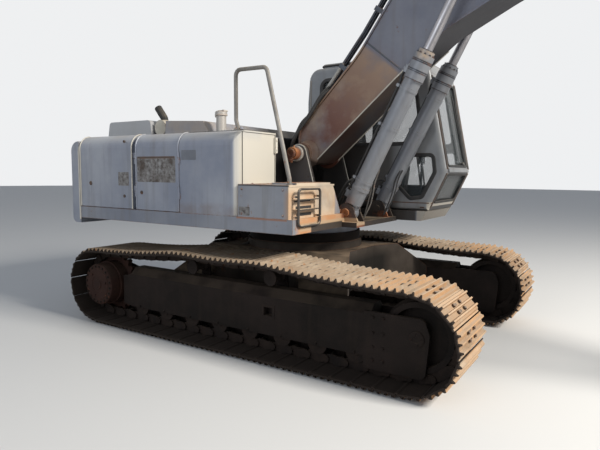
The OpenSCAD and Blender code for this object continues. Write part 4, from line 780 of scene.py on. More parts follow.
# %% One shoe and one link
def shoe():
    """Profile (along, out) stretched over the width; near both ends the grousers slope down to the plate."""
    under = [(-117, 37), (-97, 37), (-86, 46), (80, 46), (96, 52)]
    top = [(97, 62), (76, 64), (70, 90), (57, 90), (50, 62), (12, 60), (6, 90), (-6, 90), (-12, 60),
           (-50, 60), (-57, 90), (-70, 90), (-77, 62), (-94, 59), (-103, 46), (-117, 44)]
    profile = np.array(under + top, float)
    stations = np.array([[-350, 0.0], [-346, 0.55], [-325, 1.0], [325, 1.0], [346, 0.55], [350, 0.0]])
    rise = np.maximum(profile[:, 1] - 60, 0)
    out = np.minimum(profile[:, 1], 60)[None] + stations[:, 1:] * rise[None]
    squeeze = 1 - 0.03 * (np.abs(stations[:, :1]) > 349)
    points = np.stack([squeeze * profile[None, :, 0], np.broadcast_to(stations[:, :1], out.shape), out], -1)
    n = len(profile)
    ends = [list(range(n)), [5 * n + k for k in range(n)][::-1]]
    faces = [f[::-1] for f in ring_faces(len(stations), n)] + ends
    edge = np.tile(np.arange(n), len(stations) - 1)
    band = np.repeat(np.arange(len(stations) - 1), n)
    # Marks: 1 on faces under the plate and on each shoe's end that faces the machine's right, painted shade,
    # with oily grime under the plate; 0.22 in the grooves beside the grousers, a painted shade line.
    dark = np.where((edge < len(under)) | (edge == n - 1) | (band > 2), 1.0, 0.0)
    groove = np.isin(edge, [len(under) + k for k in (4, 8, 12, 13)])
    dark = np.concatenate([np.where(groove & (dark < 1), 0.22, dark), [1.0, 1.0]])
    return (points.reshape(-1, 3), faces), dark


def link():
    """Two rails, each cranked: its rear end runs inside the next one's front end, over the pins' bosses."""
    half = [(-30, 44), (-96, 26), (-124, 12), (-124, -14), (-100, -36), (-62, -44), (12, -38), (12, 44)]
    rear = np.array(half, float)
    front = (rear * [-1, 1])[::-1]
    boss = lathe([(34, 0), (34, 19)], (0, 0, 0), (0, 1, 0), 10)
    rails = []
    for side in (-1, 1):
        inner, outer = sorted((side * 60, side * 78)), sorted((side * 77, side * 95))
        rails += [prism(rear[::-1], *inner, bevel=0), prism(front[::-1], *outer, bevel=0),
                  moved(boss, (-96, min(inner), 0)), moved(boss, (96, min(outer), 0))]
    bushing = lathe([(28, -61), (28, 61)], (-96, 0, 0), (0, 1, 0), 10)
    return join(*rails, bushing)


# %% Both tracks
def shoe_bolts():
    """Four bolt heads and two mud holes, in the grooves between the grousers."""
    heads = [lathe([(16, 58), (16, 78), (12, 81)], (t, y, 0), (0, 0, 1), 6) for t in (-31, 31)
             for y in (-78, 78)]
    holes = [slab_box((t - 13, -16, 56), (t + 13, 16, 61.5), 0) for t in (-31, 31)]
    return join(*heads, *holes)


one_shoe, shade_and_grime_faces = shoe()
for side, label in ((-1, "right"), (1, "left")):
    places = link_places(side)
    shoes = piece("track_shoes_" + label, repeat(one_shoe, places), shoe_steel, "undercarriage")
    marks = shoes.data.attributes.new("grime", "FLOAT", "FACE")
    marks.data.foreach_set("value", np.tile(shade_and_grime_faces, SHOES).astype(np.float32))
    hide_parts("track_" + label)
    piece("track_chain_" + label, repeat(link(), places), chain_steel, "undercarriage")
    piece("shoe_bolts_" + label, repeat(shoe_bolts(), places), sooty_iron, "undercarriage")
    print(label, "track:", len(shoes.data.polygons), "faces of shoes")

# %% [markdown]
# ## Doors and tank
# The side doors are pressed panels with a rolled hem along each upright edge, and the hem catches the
# light beside the dark gap. A hem is a half-round profile carried up the side and over the rounded top
# edge. Where the paint is worn through in patches, thin plates with a mottled finish lie on the panels.

# %% Hems of doors, and a painted highlight on the counterweight's edge
SIDE, TOP, ROUND, DOOR_LOW = 1425.0, 2115.0, 140.0, 1321
HEM_WIDTH, HEM_RISE = 16.0, 9.0


def over_edge(x, low):
    """Line at x up the right side and over the top edge: a quarter circle of the panel's radius."""
    t = np.radians(np.linspace(0, 90, 10))
    y = -(SIDE - ROUND + ROUND * np.cos(t))
    z = TOP - ROUND + ROUND * np.sin(t)
    return np.vstack([[[x, -SIDE, low]], np.column_stack([np.full(10, x), y, z])])


def hem(x, forward):
    """Half-round bead proud of the panel; forward is the side on which it ends the panel."""
    t = np.radians(np.linspace(-90, 90, 7))
    bead = np.column_stack([HEM_RISE * np.cos(t) - 1, HEM_WIDTH / 2 * (np.sin(t) - forward)])
    profile = np.vstack([bead, [[-4, bead[-1, 1]], [-4, bead[0, 1]]]])
    return sweep(over_edge(x, DOOR_LOW), profile, (1, 0, 0))


right_doors = {"door_right_rear": [(-1290, 1), (-2193, -1)], "door_right_front": [(-599, 1), (-1240, -1)]}
for body, edges in right_doors.items():
    # Only the rear door's hems take the pale painted highlight.
    coat = highlight_paint if body == "door_right_rear" else house_paint
    piece(body + "_hems", join(*[hem(x, f) for x, f in edges]), coat, body)
piece("door_left_hems", mirrored(join(hem(-1290, 1), hem(-2193, -1))), house_paint,
      "door_left")
weight_path = [(-2212, y, z) for y, z in ((-1424, 1160), (-1424, 1952), (-1414, 2005), (-1384, 2040),
                                          (-1330, 2054))]
# A pale bead up the counterweight's corner and over its top: painted highlight.
weight_edge_highlight = sweep(weight_path, circle(11, 12), (1, 0, 0))
piece("counterweight_edge_highlights", both_sides(weight_edge_highlight), highlight_paint, "house")
print("hems on", len(right_doors) + 1, "doors")


# %% Worn patches, locks and catches
def flat_plate(x0, z0, x1, z1, thick=1.2):
    """A thin plate on the right side, its corners a little rounded."""
    return prism(round_rectangle(x0, z0, x1, z1, 8, 3), -SIDE - thick, -SIDE + 2, "y", 0)


def lock(x, z, radius=24):
    """A round lock with a slot for its key."""
    profile = [(radius, -3), (radius, 4), (radius * 0.8, 8), (radius * 0.35, 8), (radius * 0.3, 3), (2, 3)]
    return lathe(profile, (x, -SIDE, z), (0, -1, 0), 20)


worn_sign = finish("worn sign", (0.075, 0.062, 0.056), (0.30, 0.295, 0.29), (0.15, 0.125, 0.11),
                   rust_amount=0.1, rust=(0.06, 0.047, 0.04), rust_spots=0.6, streaks=0.5, roughness=0.8,
                   grain=0.5, blotch_scale=28.0, dust_amount=0.1)
shadow_patch = finish("paint under a lost plate", (0.12, 0.13, 0.155), (0.17, 0.18, 0.205),
                      (0.10, 0.095, 0.09), rust_amount=0.1, streaks=0.5, roughness=0.55, blotch_scale=7.0)
piece("worn_patch_front_door", flat_plate(-1213, 1612, -648, 1868), worn_sign, "door_right_front")
piece("worn_patch_front_door_top", flat_plate(-1208, 1856, -655, 1876, 2.2), sooty_iron,
      "door_right_front")
piece("worn_patch_rear_door", flat_plate(-1522, 1566, -1352, 1712), worn_sign, "door_right_rear")
piece("worn_patch_tank", flat_plate(-562, 1838, -366, 1935), shadow_patch, "house")
piece("worn_patch_step", flat_plate(168, 1328, 292, 1408), worn_sign, "house")
locks = join(lock(-2002, 1584), lock(-1412, 2040, 15), lock(-1425, 1453, 17))
piece("door_right_rear_locks", locks, sooty_iron, "door_right_rear")
piece("door_right_front_lock", lock(-1150, 1500, 20), sooty_iron, "door_right_front")
piece("door_left_locks", mirrored(locks), sooty_iron, "door_left")

# %% [markdown]
# ## Tank, filler and step box
# The tank is a welded steel box: its front plate is let in, so a dark joint runs round it, and small parts
# stand on top. The filler neck ends in a flange with a lever cap. The step box beside it carries tread
# plates whose raised lozenges are copied over a grid.

# %% Tank
front = 149.0
joint_line = [(front + 1, y, z) for y, z in ((-1352, 1318), (-1352, 2098), (-830, 2098), (-830, 1318))]
seam_profile = strip(6, 8)
piece("tank_joint", sweep(joint_line, seam_profile, (1, 0, 0)), seal_rubber, "house")
top_joint = [(x, y, 2116) for x, y in ((-585, -1282), (120, -1282), (135, -1270), (135, -826), (-585, -826))]
piece("tank_top_joint", sweep(top_joint, seam_profile), seal_rubber, "house")
bracket_bolts = [bolt((178, -836, z), (1, 0, 0), 8, 6) for z in (1945, 2040)]
bracket = join(slab_box((147, -852, 1915), (178, -820, 2072)), *bracket_bolts)
# The bracket takes the pale painted highlight of the sunlit tank front.
piece("tank_bracket", bracket, highlight_paint, "house")
neck = np.array([-410, -1000, 0.0])
flange = lathe([(62, 0), (66, 3), (66, 13), (62, 16)], neck + [0, 0, 2300], (0, 0, 1), 28)
cap = lathe([(56, 0), (58, 4), (58, 24), (50, 30), (30, 33), (4, 34)], neck + [0, 0, 2318], (0, 0, 1), 28)
lever = join(slab_box((-450, -1012, 2340), (-352, -988, 2358)),
             lathe([(9, -34), (9, 34)], neck + [52, 0, 2350], (0, 1, 0), 12),
             slab_box((-482, -1016, 2286), (-466, -984, 2344)))
base = lathe([(86, -2), (86, 8), (58, 12)], neck + [0, 0, 2115], (0, 0, 1), 28)
ring_bolts = [bolt(neck + [72 * math.cos(t), 72 * math.sin(t), 2121], (0, 0, 1), 7, 5)
              for t in np.arange(6) * math.pi / 3]
piece("filler_cap", join(flange, cap, lever, base, *ring_bolts), pale_iron, "house")
breather = join(lathe([(16, -2), (16, 40), (26, 44), (26, 62), (14, 70)], (-180, -960, 2115), (0, 0, 1), 16),
                lathe([(110, -2), (112, 6), (104, 12), (6, 14)], (-150, -1150, 2115), (0, 0, 1), 28),
                *[bolt((-150 + 94 * math.cos(t), -1150 + 94 * math.sin(t), 2124), (0, 0, 1), 8, 6)
                  for t in np.arange(8) * math.pi / 4])
piece("tank_cover_and_breather", breather, house_paint, "house")


# %% Tread plates and step box
LOZENGE_PITCH = 34.0


def lozenges(x0, y0, x1, y1, z):
    """A grid of raised lozenges, each turned a quarter from its neighbours; point = centre + half-axes."""
    xs = np.arange(x0 + LOZENGE_PITCH / 2, x1, LOZENGE_PITCH)
    ys = np.arange(y0 + LOZENGE_PITCH / 2, y1, LOZENGE_PITCH)
    gx, gy = [g.ravel() for g in np.meshgrid(xs, ys, indexing="ij")]
    turn = (np.add.outer(np.arange(len(xs)), np.arange(len(ys))).ravel() % 2) * math.pi / 2 + math.pi / 4
    mark = np.array([[13, 0, 0], [0, 3.5, 0], [-13, 0, 0], [0, -3.5, 0],
                     [9, 0, 2.5], [0, 2, 2.5], [-9, 0, 2.5], [0, -2, 2.5]])
    places = np.tile(np.eye(4), (len(gx), 1, 1))
    places[:, 0, 0], places[:, 1, 1] = np.cos(turn), np.cos(turn)
    places[:, 0, 1], places[:, 1, 0] = -np.sin(turn), np.sin(turn)
    places[:, 0, 3], places[:, 1, 3], places[:, 2, 3] = gx, gy, z
    faces = [[0, 1, 5, 4], [1, 2, 6, 5], [2, 3, 7, 6], [3, 0, 4, 7], [4, 5, 6, 7], [3, 2, 1, 0]]
    return repeat((mark, faces), places)


tread = join(lozenges(470, -1290, 715, -716, 1630), lozenges(165, -1410, 450, -640, 1613.8))
piece("tread_lozenges", tread, rusty_steel, "house")
piece("step_box_joint", sweep([(160, -1426, 1606), (722, -1426, 1606)], seam_profile), seal_rubber,
      "house")
# Black plates on the step box's front stand for foothold openings whose insides lie in shade: painted shade.
slots = [prism(round_rectangle(*corners, 4, 3), 719, 722, "x", 0)
         for corners in ((-1335, 1462, -1064, 1477), (-1312, 1396, -1050, 1425), (-1298, 1336, -1048, 1362))]
piece("step_slots", join(*slots), seal_rubber, "house")
step_bolts = [bolt((x, -1250, 1614), (0, 0, 1), 9, 6) for x in (190, 430)]
step_bolts += [bolt((x, -1425, z), (0, -1, 0), 9, 6) for x in (200, 660) for z in (1345, 1570)]
piece("step_box_bolts", join(*step_bolts), step_paint, "house")
handrail_feet = join(*[bolt((x, y, z), (0, 0, 1), 8, 6) for x, z in ((112, 2123), (696, 1638))
                       for y in (-1398, -1352)])
piece("handrail_bolts", handrail_feet, rusty_steel, "house")

# %% [markdown]
# ## Boom foot, cylinders and hoses
# The boom turns on a pin whose rusty end shows in the cheek plate, held by a keeper plate. Each cylinder
# has a gland with a ring of bolts, and a steel pipe along its tube from the oil port at the base to the
# one at the head, held by ring clamps. Rubber hoses join the pipes to the house; they stay fixed and ride on
# no body.

# %% Foot pin and keeper plates
FOOT, LIFT_BASE, CROWD_BASE, CURL_BASE = (165, 1926), (774, 1323), (2250, 4176), (5649.60, 3833.78)


def pin_end(x, z, y, radius, side, keeper_turn=0.0):
    """A pin's end with a raised rim and centre hole, and a keeper plate with two bolts beside it."""
    way = (0, side, 0)
    profile = [(radius, -6), (radius, 10), (radius - 4, 14), (radius * 0.5, 14), (radius * 0.45, 8), (3, 8)]
    end = lathe(profile, (x, y, z), way, 28)
    c, s = math.cos(math.radians(keeper_turn)), math.sin(math.radians(keeper_turn))
    centre = np.array([x + c * (radius + 18), y, z + s * (radius + 18)])
    low, high = sorted((y - side * 2, y + side * 12))
    plate = prism(round_rectangle(-24, -52, 24, 52, 8, 3), low, high, "y", 2)
    plate = turned(plate, (centre[0], centre[2]), keeper_turn)
    bolts = [bolt((centre[0] - s * q, y + side * 12, centre[2] + c * q), way, 11, 9) for q in (-32, 32)]
    return join(end, plate, *bolts)


foot_ring = lathe([(84, -4), (84, 16), (78, 22), (66, 22), (62, 16), (62, -4)], (FOOT[0], -447, FOOT[1]),
                  (0, -1, 0), 36, True)
piece("foot_pin_ring", foot_ring, pale_iron, "house")
collar = lathe([(64, -100), (66, -94), (64.5, -60), (64.5, -30), (67, -24), (67, -4), (62, 2), (48, 2)],
               (FOOT[0], -546, FOOT[1]), (0, -1, 0), 36)
nipple = lathe([(9, -4), (9, 8), (6, 12), (6, 20), (3, 24)], (165, -500, 1988), (0, 0, 1), 10)
foot_pin = join(collar, nipple, pin_end(*FOOT, -560, 47, -1, 250),
                mirrored(pin_end(*FOOT, -462, 46, -1, 250)))
piece("foot_pin_ends", foot_pin, orange_rust, "house")
piece("lift_base_pins", both_sides(pin_end(*LIFT_BASE, -470, 42, -1, 200)), orange_rust, "house")

# %% Cylinder fittings
LIFT, CROWD, CURL = (LIFT_BASE, 63.0838), (CROWD_BASE, 13.3316), (CURL_BASE, -88.9706)


def cylinder_fittings(length, radius, rod, side):
    """Gland bolts, wiper lip, ring grooves, and an oil pipe between the ports with its clamps, along X."""
    def ring(x, inner, outer, half):
        return lathe(rectangle(inner, -half, outer, half), (x, 0, 0), (1, 0, 0), 40, True)

    t = np.arange(10) * 2 * math.pi / 10
    gland = [bolt((length - 36, (radius - 6) * math.sin(a), (radius - 6) * math.cos(a)), (1, 0, 0), 8, 9)
             for a in t]
    lip = [(rod + 3, -3), (rod + 14, -3), (rod + 14, 6), (rod + 5, 9), (rod + 3, 4)]
    gland.append(lathe(lip, (length, 0, 0), (1, 0, 0), 32, True))
    gland += [ring(length + x, radius + 9, radius + 12.5, w)
              for x, w in ((-281, 4), (-208, 4), (-192, 6), (-112, 6), (-98, 3))]
    out = radius + 18
    run = [(200, side * 8, radius + 24), (216, side * 18, radius + 28), (262, side * 30, out - 2),
           (320, side * 32, out - 4), (length * 0.5, side * 32, out - 4),
           (length - 380, side * 32, out - 4), (length - 300, side * 28, radius + 28),
           (length - 214, side * 8, radius + 32)]
    pipe = tube(run, 12, 10, (0.02, 1, 0.05), 6)
    clamps = []
    for x in (360, length * 0.55, length - 380):
        clamps += [ring(x, radius - 2, radius + 5, 15),
                   slab_box((x - 15, side * 32 - 20, radius - 4), (x + 15, side * 32 + 20, out + 12), 4),
                   bolt((x, side * 32, out + 12), (0, 0, 1), 8, 8)]
    unions = [lathe([(21, -10), (21, 12), (16, 16)], (x, side * 8, radius + 34), (0, 0, 1), 6)
              for x in (205, length - 214)]
    return pipe, join(*gland), join(*clamps, *unions)


cylinder_rows = (("boom_left", LIFT, 1716, 85, 45, 1, 380, "boom_tubes"),
                 ("boom_right", LIFT, 1716, 85, 45, -1, -380, "boom_tubes"),
                 ("arm", CROWD, 2120, 80, 45, 1, 0, "arm_tube"),
                 ("bucket", CURL, 1510, 70, 40, 1, 0, "bucket_tube"))
for name, (at, angle), length, radius, rod, side, y, body in cylinder_rows:
    pipe, gland, clamps = cylinder_fittings(length, radius, rod, side)
    for label, part, material, slot in (("pipe", pipe, seal_rubber, "bare_steel"),
                                        ("gland", gland, dark_steel, "dark_iron"),
                                        ("clamps", clamps, cylinder_paint, "grey_paint")):
        piece(f"{name}_cylinder_{label}", moved(turned(part, at, angle), (0, y, 0)), material, body)

# %% Weld seams of the boom, and pale beads of painted highlight
def arc_points(centre, radius, a0, a1, y, count=24):
    """Points of a circle round a centre in the side view."""
    t = np.radians(np.linspace(a0, a1, count))
    return np.column_stack([centre[0] + radius * np.cos(t), np.full(count, y),
                            centre[1] + radius * np.sin(t)])


bead = [(-9, -3), (9, -3), (9, 0), (5, 4), (-5, 4), (-9, 0)]
seam_line = [(x, -225, z) for x, z in ((858, 3045), (1000, 2931), (1140, 2817), (1282, 2702))]
lower_edge = [(300, 1870), (640, 2174), (900, 2406), (1180, 2656), (1400, 2836), (1560, 2966)]
# Pale beads along the boom's lower edges: painted highlights where the sunlit edges catch the light.
edge_highlight = sweep([(x, -240, z) for x, z in lower_edge], circle(7, 8), (0, -1, 0))
piece("boom_edge_highlights", both_sides(edge_highlight), highlight_paint, "boom")
piece("boom_weld_seams", both_sides(sweep(seam_line, bead, (0, -1, 0))), dark_steel, "boom")
# Pale beads round the foot bracket's cheeks: painted highlights on their sunlit edges.
cheek_line = np.vstack([arc_points(FOOT, 99, 118, 6, -411, 14),
                        [(x, -411, z) for x, z in ((272, 1906), (345, 1646), (468, 1216))]])
piece("foot_bracket_edge_highlights", both_sides(sweep(cheek_line, circle(6, 8), (0, -1, 0))), highlight_paint, "house")

# %% Hoses round the boom's foot
hoses = []
for k, y in enumerate((-150, -90, 90, 150)):
    lift = 10 * (k % 2)
    hoses.append(tube([(318, y, 2572), (284, y, 2522), (234, y * 1.03, 2442 + lift), (166, y, 2376 + lift),
                       (48, y * 0.97, 2286 + lift), (-22 - lift, y * 0.92, 2186),
                       (-80 - lift, y * 0.86, 2100), (-118, y * 0.8, 2010), (-126, y * 0.74, 1880),
                       (-112, y * 0.7, 1700), (-90, y * 0.66, 1480)], 22, 10))
for y in (-190, -34, 30, 196):
    hoses.append(tube([(400, y * 0.9, 2612), (330, y, 2522), (250, y, 2440), (165, y, 2366),
                       (60, y * 0.94, 2240), (0, y * 0.9, 2146), (-60, y * 0.85, 2050),
                       (-88, y * 0.8, 1900), (-60, y * 0.7, 1500)], 15, 8))
for y, lift in ((-262, 0), (-256, 34)):
    hoses.append(tube([(424, y * 0.84, 2606 + lift), (386, y * 0.94, 2566 + lift), (326, y, 2496 + lift),
                       (236, y, 2372 + lift), (150, y, 2268 + lift), (66, y, 2176 + lift), (2, y, 2080),
                       (-50, y * 0.95, 1980), (-84, y * 0.88, 1840), (-70, y * 0.8, 1500)], 14, 8))
hose_across("boom_foot_hoses", join(*hoses), hose_rubber)
couplings = [lathe([(24, -44), (27, -40), (27, 40), (22, 44)], (308, y, 2562), (0.62, 0, 0.78), 8)
             for y in (-150, -90, 90, 150)]
piece("boom_foot_couplings", join(*couplings), dark_steel, "boom")
sleeve = tube([(290, -150, 2542), (420, -150, 2705), (560, -150, 2881)], 18.5, 14)
pale_block = slab_box((268, -186, 2470), (338, -128, 2552), 6)
piece("boom_pipe_sleeve", join(sleeve, pale_block), pale_iron, "boom")
lift_pipes = [tube([(1040 + d, side * 312, 1757), (1008 + d, side * 300, 1690),
                    (985 + d, side * 298, 1620), (968 + d, side * 292, 1530), (930 + d, side * 276, 1400),
                    (880, side * 250, 1262)], 7.5, 8) for side in (-1, 1) for d in (0, 30)]
for label, part, material, slot in (("pipes", lift_pipes[:2], rail_steel, "bare_steel"),
                                    ("inner_hoses", lift_pipes[2:], hose_rubber, "dark_plastic")):
    hose_across("lift_cylinder_" + label, join(*part), material)
lift_hoses = []
for side in (-1, 1):
    y = side * 380
    lift_hoses += [tube([(560, side * 250, 1226), (575, side * 262, 1330), (640, side * 300, 1445),
                         (700, y * 0.9, 1520), (752, y, 1560), (790, y, 1530)], 16, 10),
                   tube([(520, side * 225, 1226), (540, side * 240, 1370), (615, side * 292, 1490),
                         (720, side * 335, 1620), (800, side * 345, 1655), (868, side * 336, 1630)], 16, 10)]
hose_across("lift_cylinder_hoses", join(*lift_hoses), hose_rubber)

# %% [markdown]
# ## Cab
# Every window sits in a thick black rubber seal: a small profile swept along the window's outline, lifted
# off the wall. The windscreen's frame, the wiper and the roof hatch are built the same way, from outlines
# in one plane.

# %% Window seals
seal_profile = np.array([(-14, -4), (14, -4), (14, 3), (9, 8), (-9, 8), (-14, 3)])
UPPER = [(-110, 2060, 60), (1215, 2060, 60), (1100, 2850, 90), (-90, 2850, 90)]
LOWER = [(930, 1600, 40), (1090, 1440, 50), (1230, 1460, 50), (1370, 1740, 50), (1345, 1930, 50),
         (930, 1930, 40)]
QUARTER = [(-170, 2060, 50), (200, 2060, 50), (200, 2820, 60), (-150, 2820, 60)]
DOOR_UPPER = [(390, 2080, 50), (1285, 2080, 50), (1150, 2780, 70), (390, 2780, 50)]
DOOR_LOWER = [(390, 1560, 50), (1190, 1560, 50), (1350, 1760, 50), (1310, 1990, 50), (390, 1990, 50)]


def side_loop(rows, y):
    """A rounded outline of the side view as points in space."""
    outline = rounded(rows)
    return np.column_stack([outline[:, 0], np.full(len(outline), float(y)), outline[:, 1]])


def windscreen_point(y, z):
    """A point on the windscreen's outer plane, which leans back above 1750 and forward below it."""
    x = 1500 - 260 * (z - 1750) / 1250 if z > 1750 else 1300 + 200 * (z - 1310) / 440
    return (x, y, z)


def front_loop(y0, z0, y1, z1):
    """A rounded rectangle on the windscreen's plane."""
    return [windscreen_point(y, z) for y, z in round_rectangle(y0, z0, y1, z1, 40)]


RIGHT_WALL, LEFT_WALL = 500.0, 1420.0
upper_normal, lower_normal = (1250, 0, 260), (440, 0, -200)
rear = round_rectangle(650, 2060, 1270, 2780, 50)
seals = [sweep(side_loop(rows, RIGHT_WALL), seal_profile * [1.6, 1], (0, -1, 0), closed=True)
         for rows in (UPPER, LOWER)]
seals += [sweep(loop, seal_profile, normal, closed=True) for loop, normal in (
    (side_loop(QUARTER, LEFT_WALL), (0, 1, 0)),
    (front_loop(590, 1810, 1330, 2770), upper_normal),
    (front_loop(590, 1400, 1330, 1715), lower_normal),
    (np.column_stack([np.full(len(rear), -300.0), rear]), (-1, 0, 0)),
)]
piece("cab_seals", join(*seals), seal_rubber, "house")
door_seals = [sweep(side_loop(rows, LEFT_WALL + 3), seal_profile, (0, 1, 0), closed=True)
              for rows in (DOOR_UPPER, DOOR_LOWER)]
piece("cab_door_seals", join(*door_seals), seal_rubber, "cab_door")

# %% Windscreen frame, wiper and panels
def front_strip(y0, y1, z0, z1, thick=10):
    """A flat strip on the windscreen's plane from z0 to z1, swept along it."""
    path = [windscreen_point((y0 + y1) / 2, z) for z in np.linspace(z0, z1, 8)]
    w = (y1 - y0) / 2
    profile = [(-w, -4), (w, -4), (w, thick - 3), (w - 3, thick), (-w + 3, thick), (-w, thick - 3)]
    return sweep(path, profile, upper_normal if z0 > 1740 else lower_normal)


frame_strips = [front_strip(1345, 1392, 1775, 2800), front_strip(1345, 1392, 1340, 1730, 8),
                front_strip(532, 566, 1775, 2800), front_strip(532, 566, 1340, 1730, 8)]
piece("windscreen_frame", join(*frame_strips), sooty_iron, "house")
bar = sweep([windscreen_point(y, 1760) for y in (575, 1345)],
            [(-22, -4), (22, -4), (22, 8), (16, 12), (-16, 12), (-22, 8)], upper_normal)
piece("windscreen_bar", bar, cab_paint, "house")
wiper_path = [np.array(windscreen_point(1180, z)) + (26, 0, 5) for z in (1850, 2200, 2560)]
blade_path = [np.array(windscreen_point(1180 - (z - 2000) * 0.05, z)) + (14, 0, 2)
              for z in np.linspace(1900, 2640, 6)]
wiper = join(tube(wiper_path, 7, 8, (0, 1, 0.1), 4),
             sweep(blade_path, [(-6, -8), (6, -8), (9, 4), (-9, 4)], upper_normal),
             lathe([(26, -22), (28, 10), (18, 22), (3, 24)], (1483, 1180, 1835), (0.98, 0, 0.2), 20))
piece("wiper", wiper, dark_plastic, "house")
kick_panel = np.array([windscreen_point(960, z) for z in np.linspace(1372, 1738, 6)]) - (40, 0, 0)
piece("kick_panel", sweep(kick_panel, strip(744, 10), lower_normal), dark_plastic, "house")
# A dark strip behind the windscreen stands for the shaded inside of the far pillar: painted shade.
inner_shade_strip = np.array([windscreen_point(1272, z) for z in np.linspace(1800, 2790, 8)]) - (46, 0, 0)
piece("windscreen_inner_shade", sweep(inner_shade_strip, strip(124, 10), upper_normal), dark_plastic, "house")
# A thin steel strip on the cab's rear right corner stands for the highlight line there: painted highlight.
corner_highlight = sweep([(-243, 497, 2160), (-243, 497, 2860)], circle(7, 8), (0, -1, 0))
piece("cab_corner_highlight", corner_highlight, rail_steel, "house")
skirt = sweep([(-290, 497, 1395), (1318, 497, 1395)], strip(10, 6), (0, -1, 0))
skirt_front = sweep([(1336, 512, 1395), (1336, 1408, 1395)], strip(10, 6), (1, 0, -0.45))
slot_hole = prism(round_rectangle(1210, 1338, 1262, 1352, 8, 3), 497, 502, "y", 0)
piece("cab_skirt_line", join(skirt, skirt_front, slot_hole), sooty_iron, "house")

# %% Roof hatch
hatch = round_rectangle(-130, 560, 600, 1340, 60)
hatch_body = prism(hatch, 2994, 3056, "z", 12)
hatch_seal = sweep(np.column_stack([hatch, np.full(len(hatch), 3030.0)]), circle(13, 10), closed=True)
piece("roof_hatch", hatch_body, cab_paint, "house")
piece("roof_hatch_seal", hatch_seal, seal_rubber, "house")
rib = [(-16, -5), (16, -5), (10, 5), (-10, 5)]
ribs = [sweep([(x, 640, 3058), (x, 1280, 3058)], rib) for x in (20, 240, 460)]
piece("roof_hatch_ribs", join(*ribs), cab_paint, "house")

# %% Seat
def power(w, e):
    """A number's power that keeps its sign."""
    return np.sign(w) * np.abs(w) ** e


def cushion(low, high, crown, channels, axis_rows):
    """Crowned pad: a superellipsoid whose sides pull in between its corners, with channels across it."""
    u, v = np.arange(72) * 2 * math.pi / 72, np.linspace(-math.pi / 2, math.pi / 2, 33)[1:-1]
    vv, uu = np.meshgrid(v, u, indexing="ij")
    ring = power(np.cos(vv), 0.45)
    pull = 1 - 0.035 * np.cos(2 * uu) ** 2
    x, y = ring * power(np.cos(uu), 0.32) * pull, ring * power(np.sin(uu), 0.32) * pull
    z = power(np.sin(vv), 0.75)
    top = np.clip(z, 0, None)
    z = z + crown * top * (1 - x ** 2) * (1 - y ** 2)
    for at in channels:
        z = z - 0.16 * top * np.exp(-((x - at) / 0.035) ** 2)
    middle, half = (np.asarray(low, float) + high) / 2, (np.asarray(high, float) - low) / 2
    points = np.column_stack([x.ravel(), y.ravel(), z.ravel()]) * half
    poles = [[0, 0, -half[2]], [0, 0, half[2] * (1 + crown)]]
    points = np.vstack([points, poles]) @ np.asarray(axis_rows, float) + middle
    rings, sides = len(v), len(u)
    faces = ring_faces(rings, sides)
    faces += [[rings * sides, (k + 1) % sides, k] for k in range(sides)]
    faces += [[rings * sides + 1, (rings - 1) * sides + k, (rings - 1) * sides + (k + 1) % sides]
              for k in range(sides)]
    return points, faces


def cushion_seam(low, high, axis_rows):
    """Piping round a pad just below its middle: a tube along the same pulled-in outline."""
    u = np.arange(72) * 2 * math.pi / 72
    pull = 1 - 0.035 * np.cos(2 * u) ** 2
    ring = np.column_stack([power(np.cos(u), 0.32) * pull, power(np.sin(u), 0.32) * pull, np.full(72, -0.1)])
    middle, half = (np.asarray(low, float) + high) / 2, (np.asarray(high, float) - low) / 2
    return sweep(ring * half @ np.asarray(axis_rows, float) + middle, circle(5, 8), closed=True)


level_rows = np.eye(3)
lean = math.radians(82)
lean_rows = np.array([[-math.cos(lean), 0, math.sin(lean)], [0, 1, 0], [math.sin(lean), 0, math.cos(lean)]])
pads = {"seat_cushion": ((165, 715, 1612), (725, 1205, 1742), level_rows, (-0.45, 0.0, 0.45)),
        "seat_back": ((-130, 722, 1948), (508, 1198, 2062), lean_rows, (-0.5, 0.0, 0.5))}
for name, (low, high, rows, channels) in pads.items():
    pad = join(cushion(low, high, 0.18, channels, rows), cushion_seam(low, high, rows))
    obj = piece(name, pad, seat_fabric, "house")
    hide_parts("seat")
bellows = [(150 + 16 * (k % 2), 22 * k) for k in range(11)]
seat_base = join(lathe(bellows + [(20, 222)], (420, 960, 1357), (0, 0, 1), 36),
                 slab_box((215, 745, 1572), (650, 1175, 1622), 8),
                 slab_box((300, 800, 1356), (560, 1120, 1372), 4),
                 slab_box((96, 900, 1640), (150, 1020, 1980), 10))
obj = piece("seat_base", seat_base, dark_plastic, "house")
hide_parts("seat")

# %% [markdown]
# ## Undercarriage details
# The final drive ends in a domed cover far outside the frame, held by a ring of bolts. The idler's axle
# has a cap, the track adjuster a dark rim round its square hole, painted shade that makes the hole look
# larger, and hoses run from the middle of the machine to both drives.

# %% Drives, idlers and frames
def ring_of_bolts(x, z, y, radius, count, size=11, height=9, side=-1):
    """Bolts on a circle in the side view, their heads along Y: place = (x + R cos t, y, z + R sin t)."""
    t = np.arange(count) * 2 * math.pi / count + 0.2
    return join(*[bolt((x + radius * math.cos(a), y, z + radius * math.sin(a)), (0, side, 0), size, height)
                  for a in t])


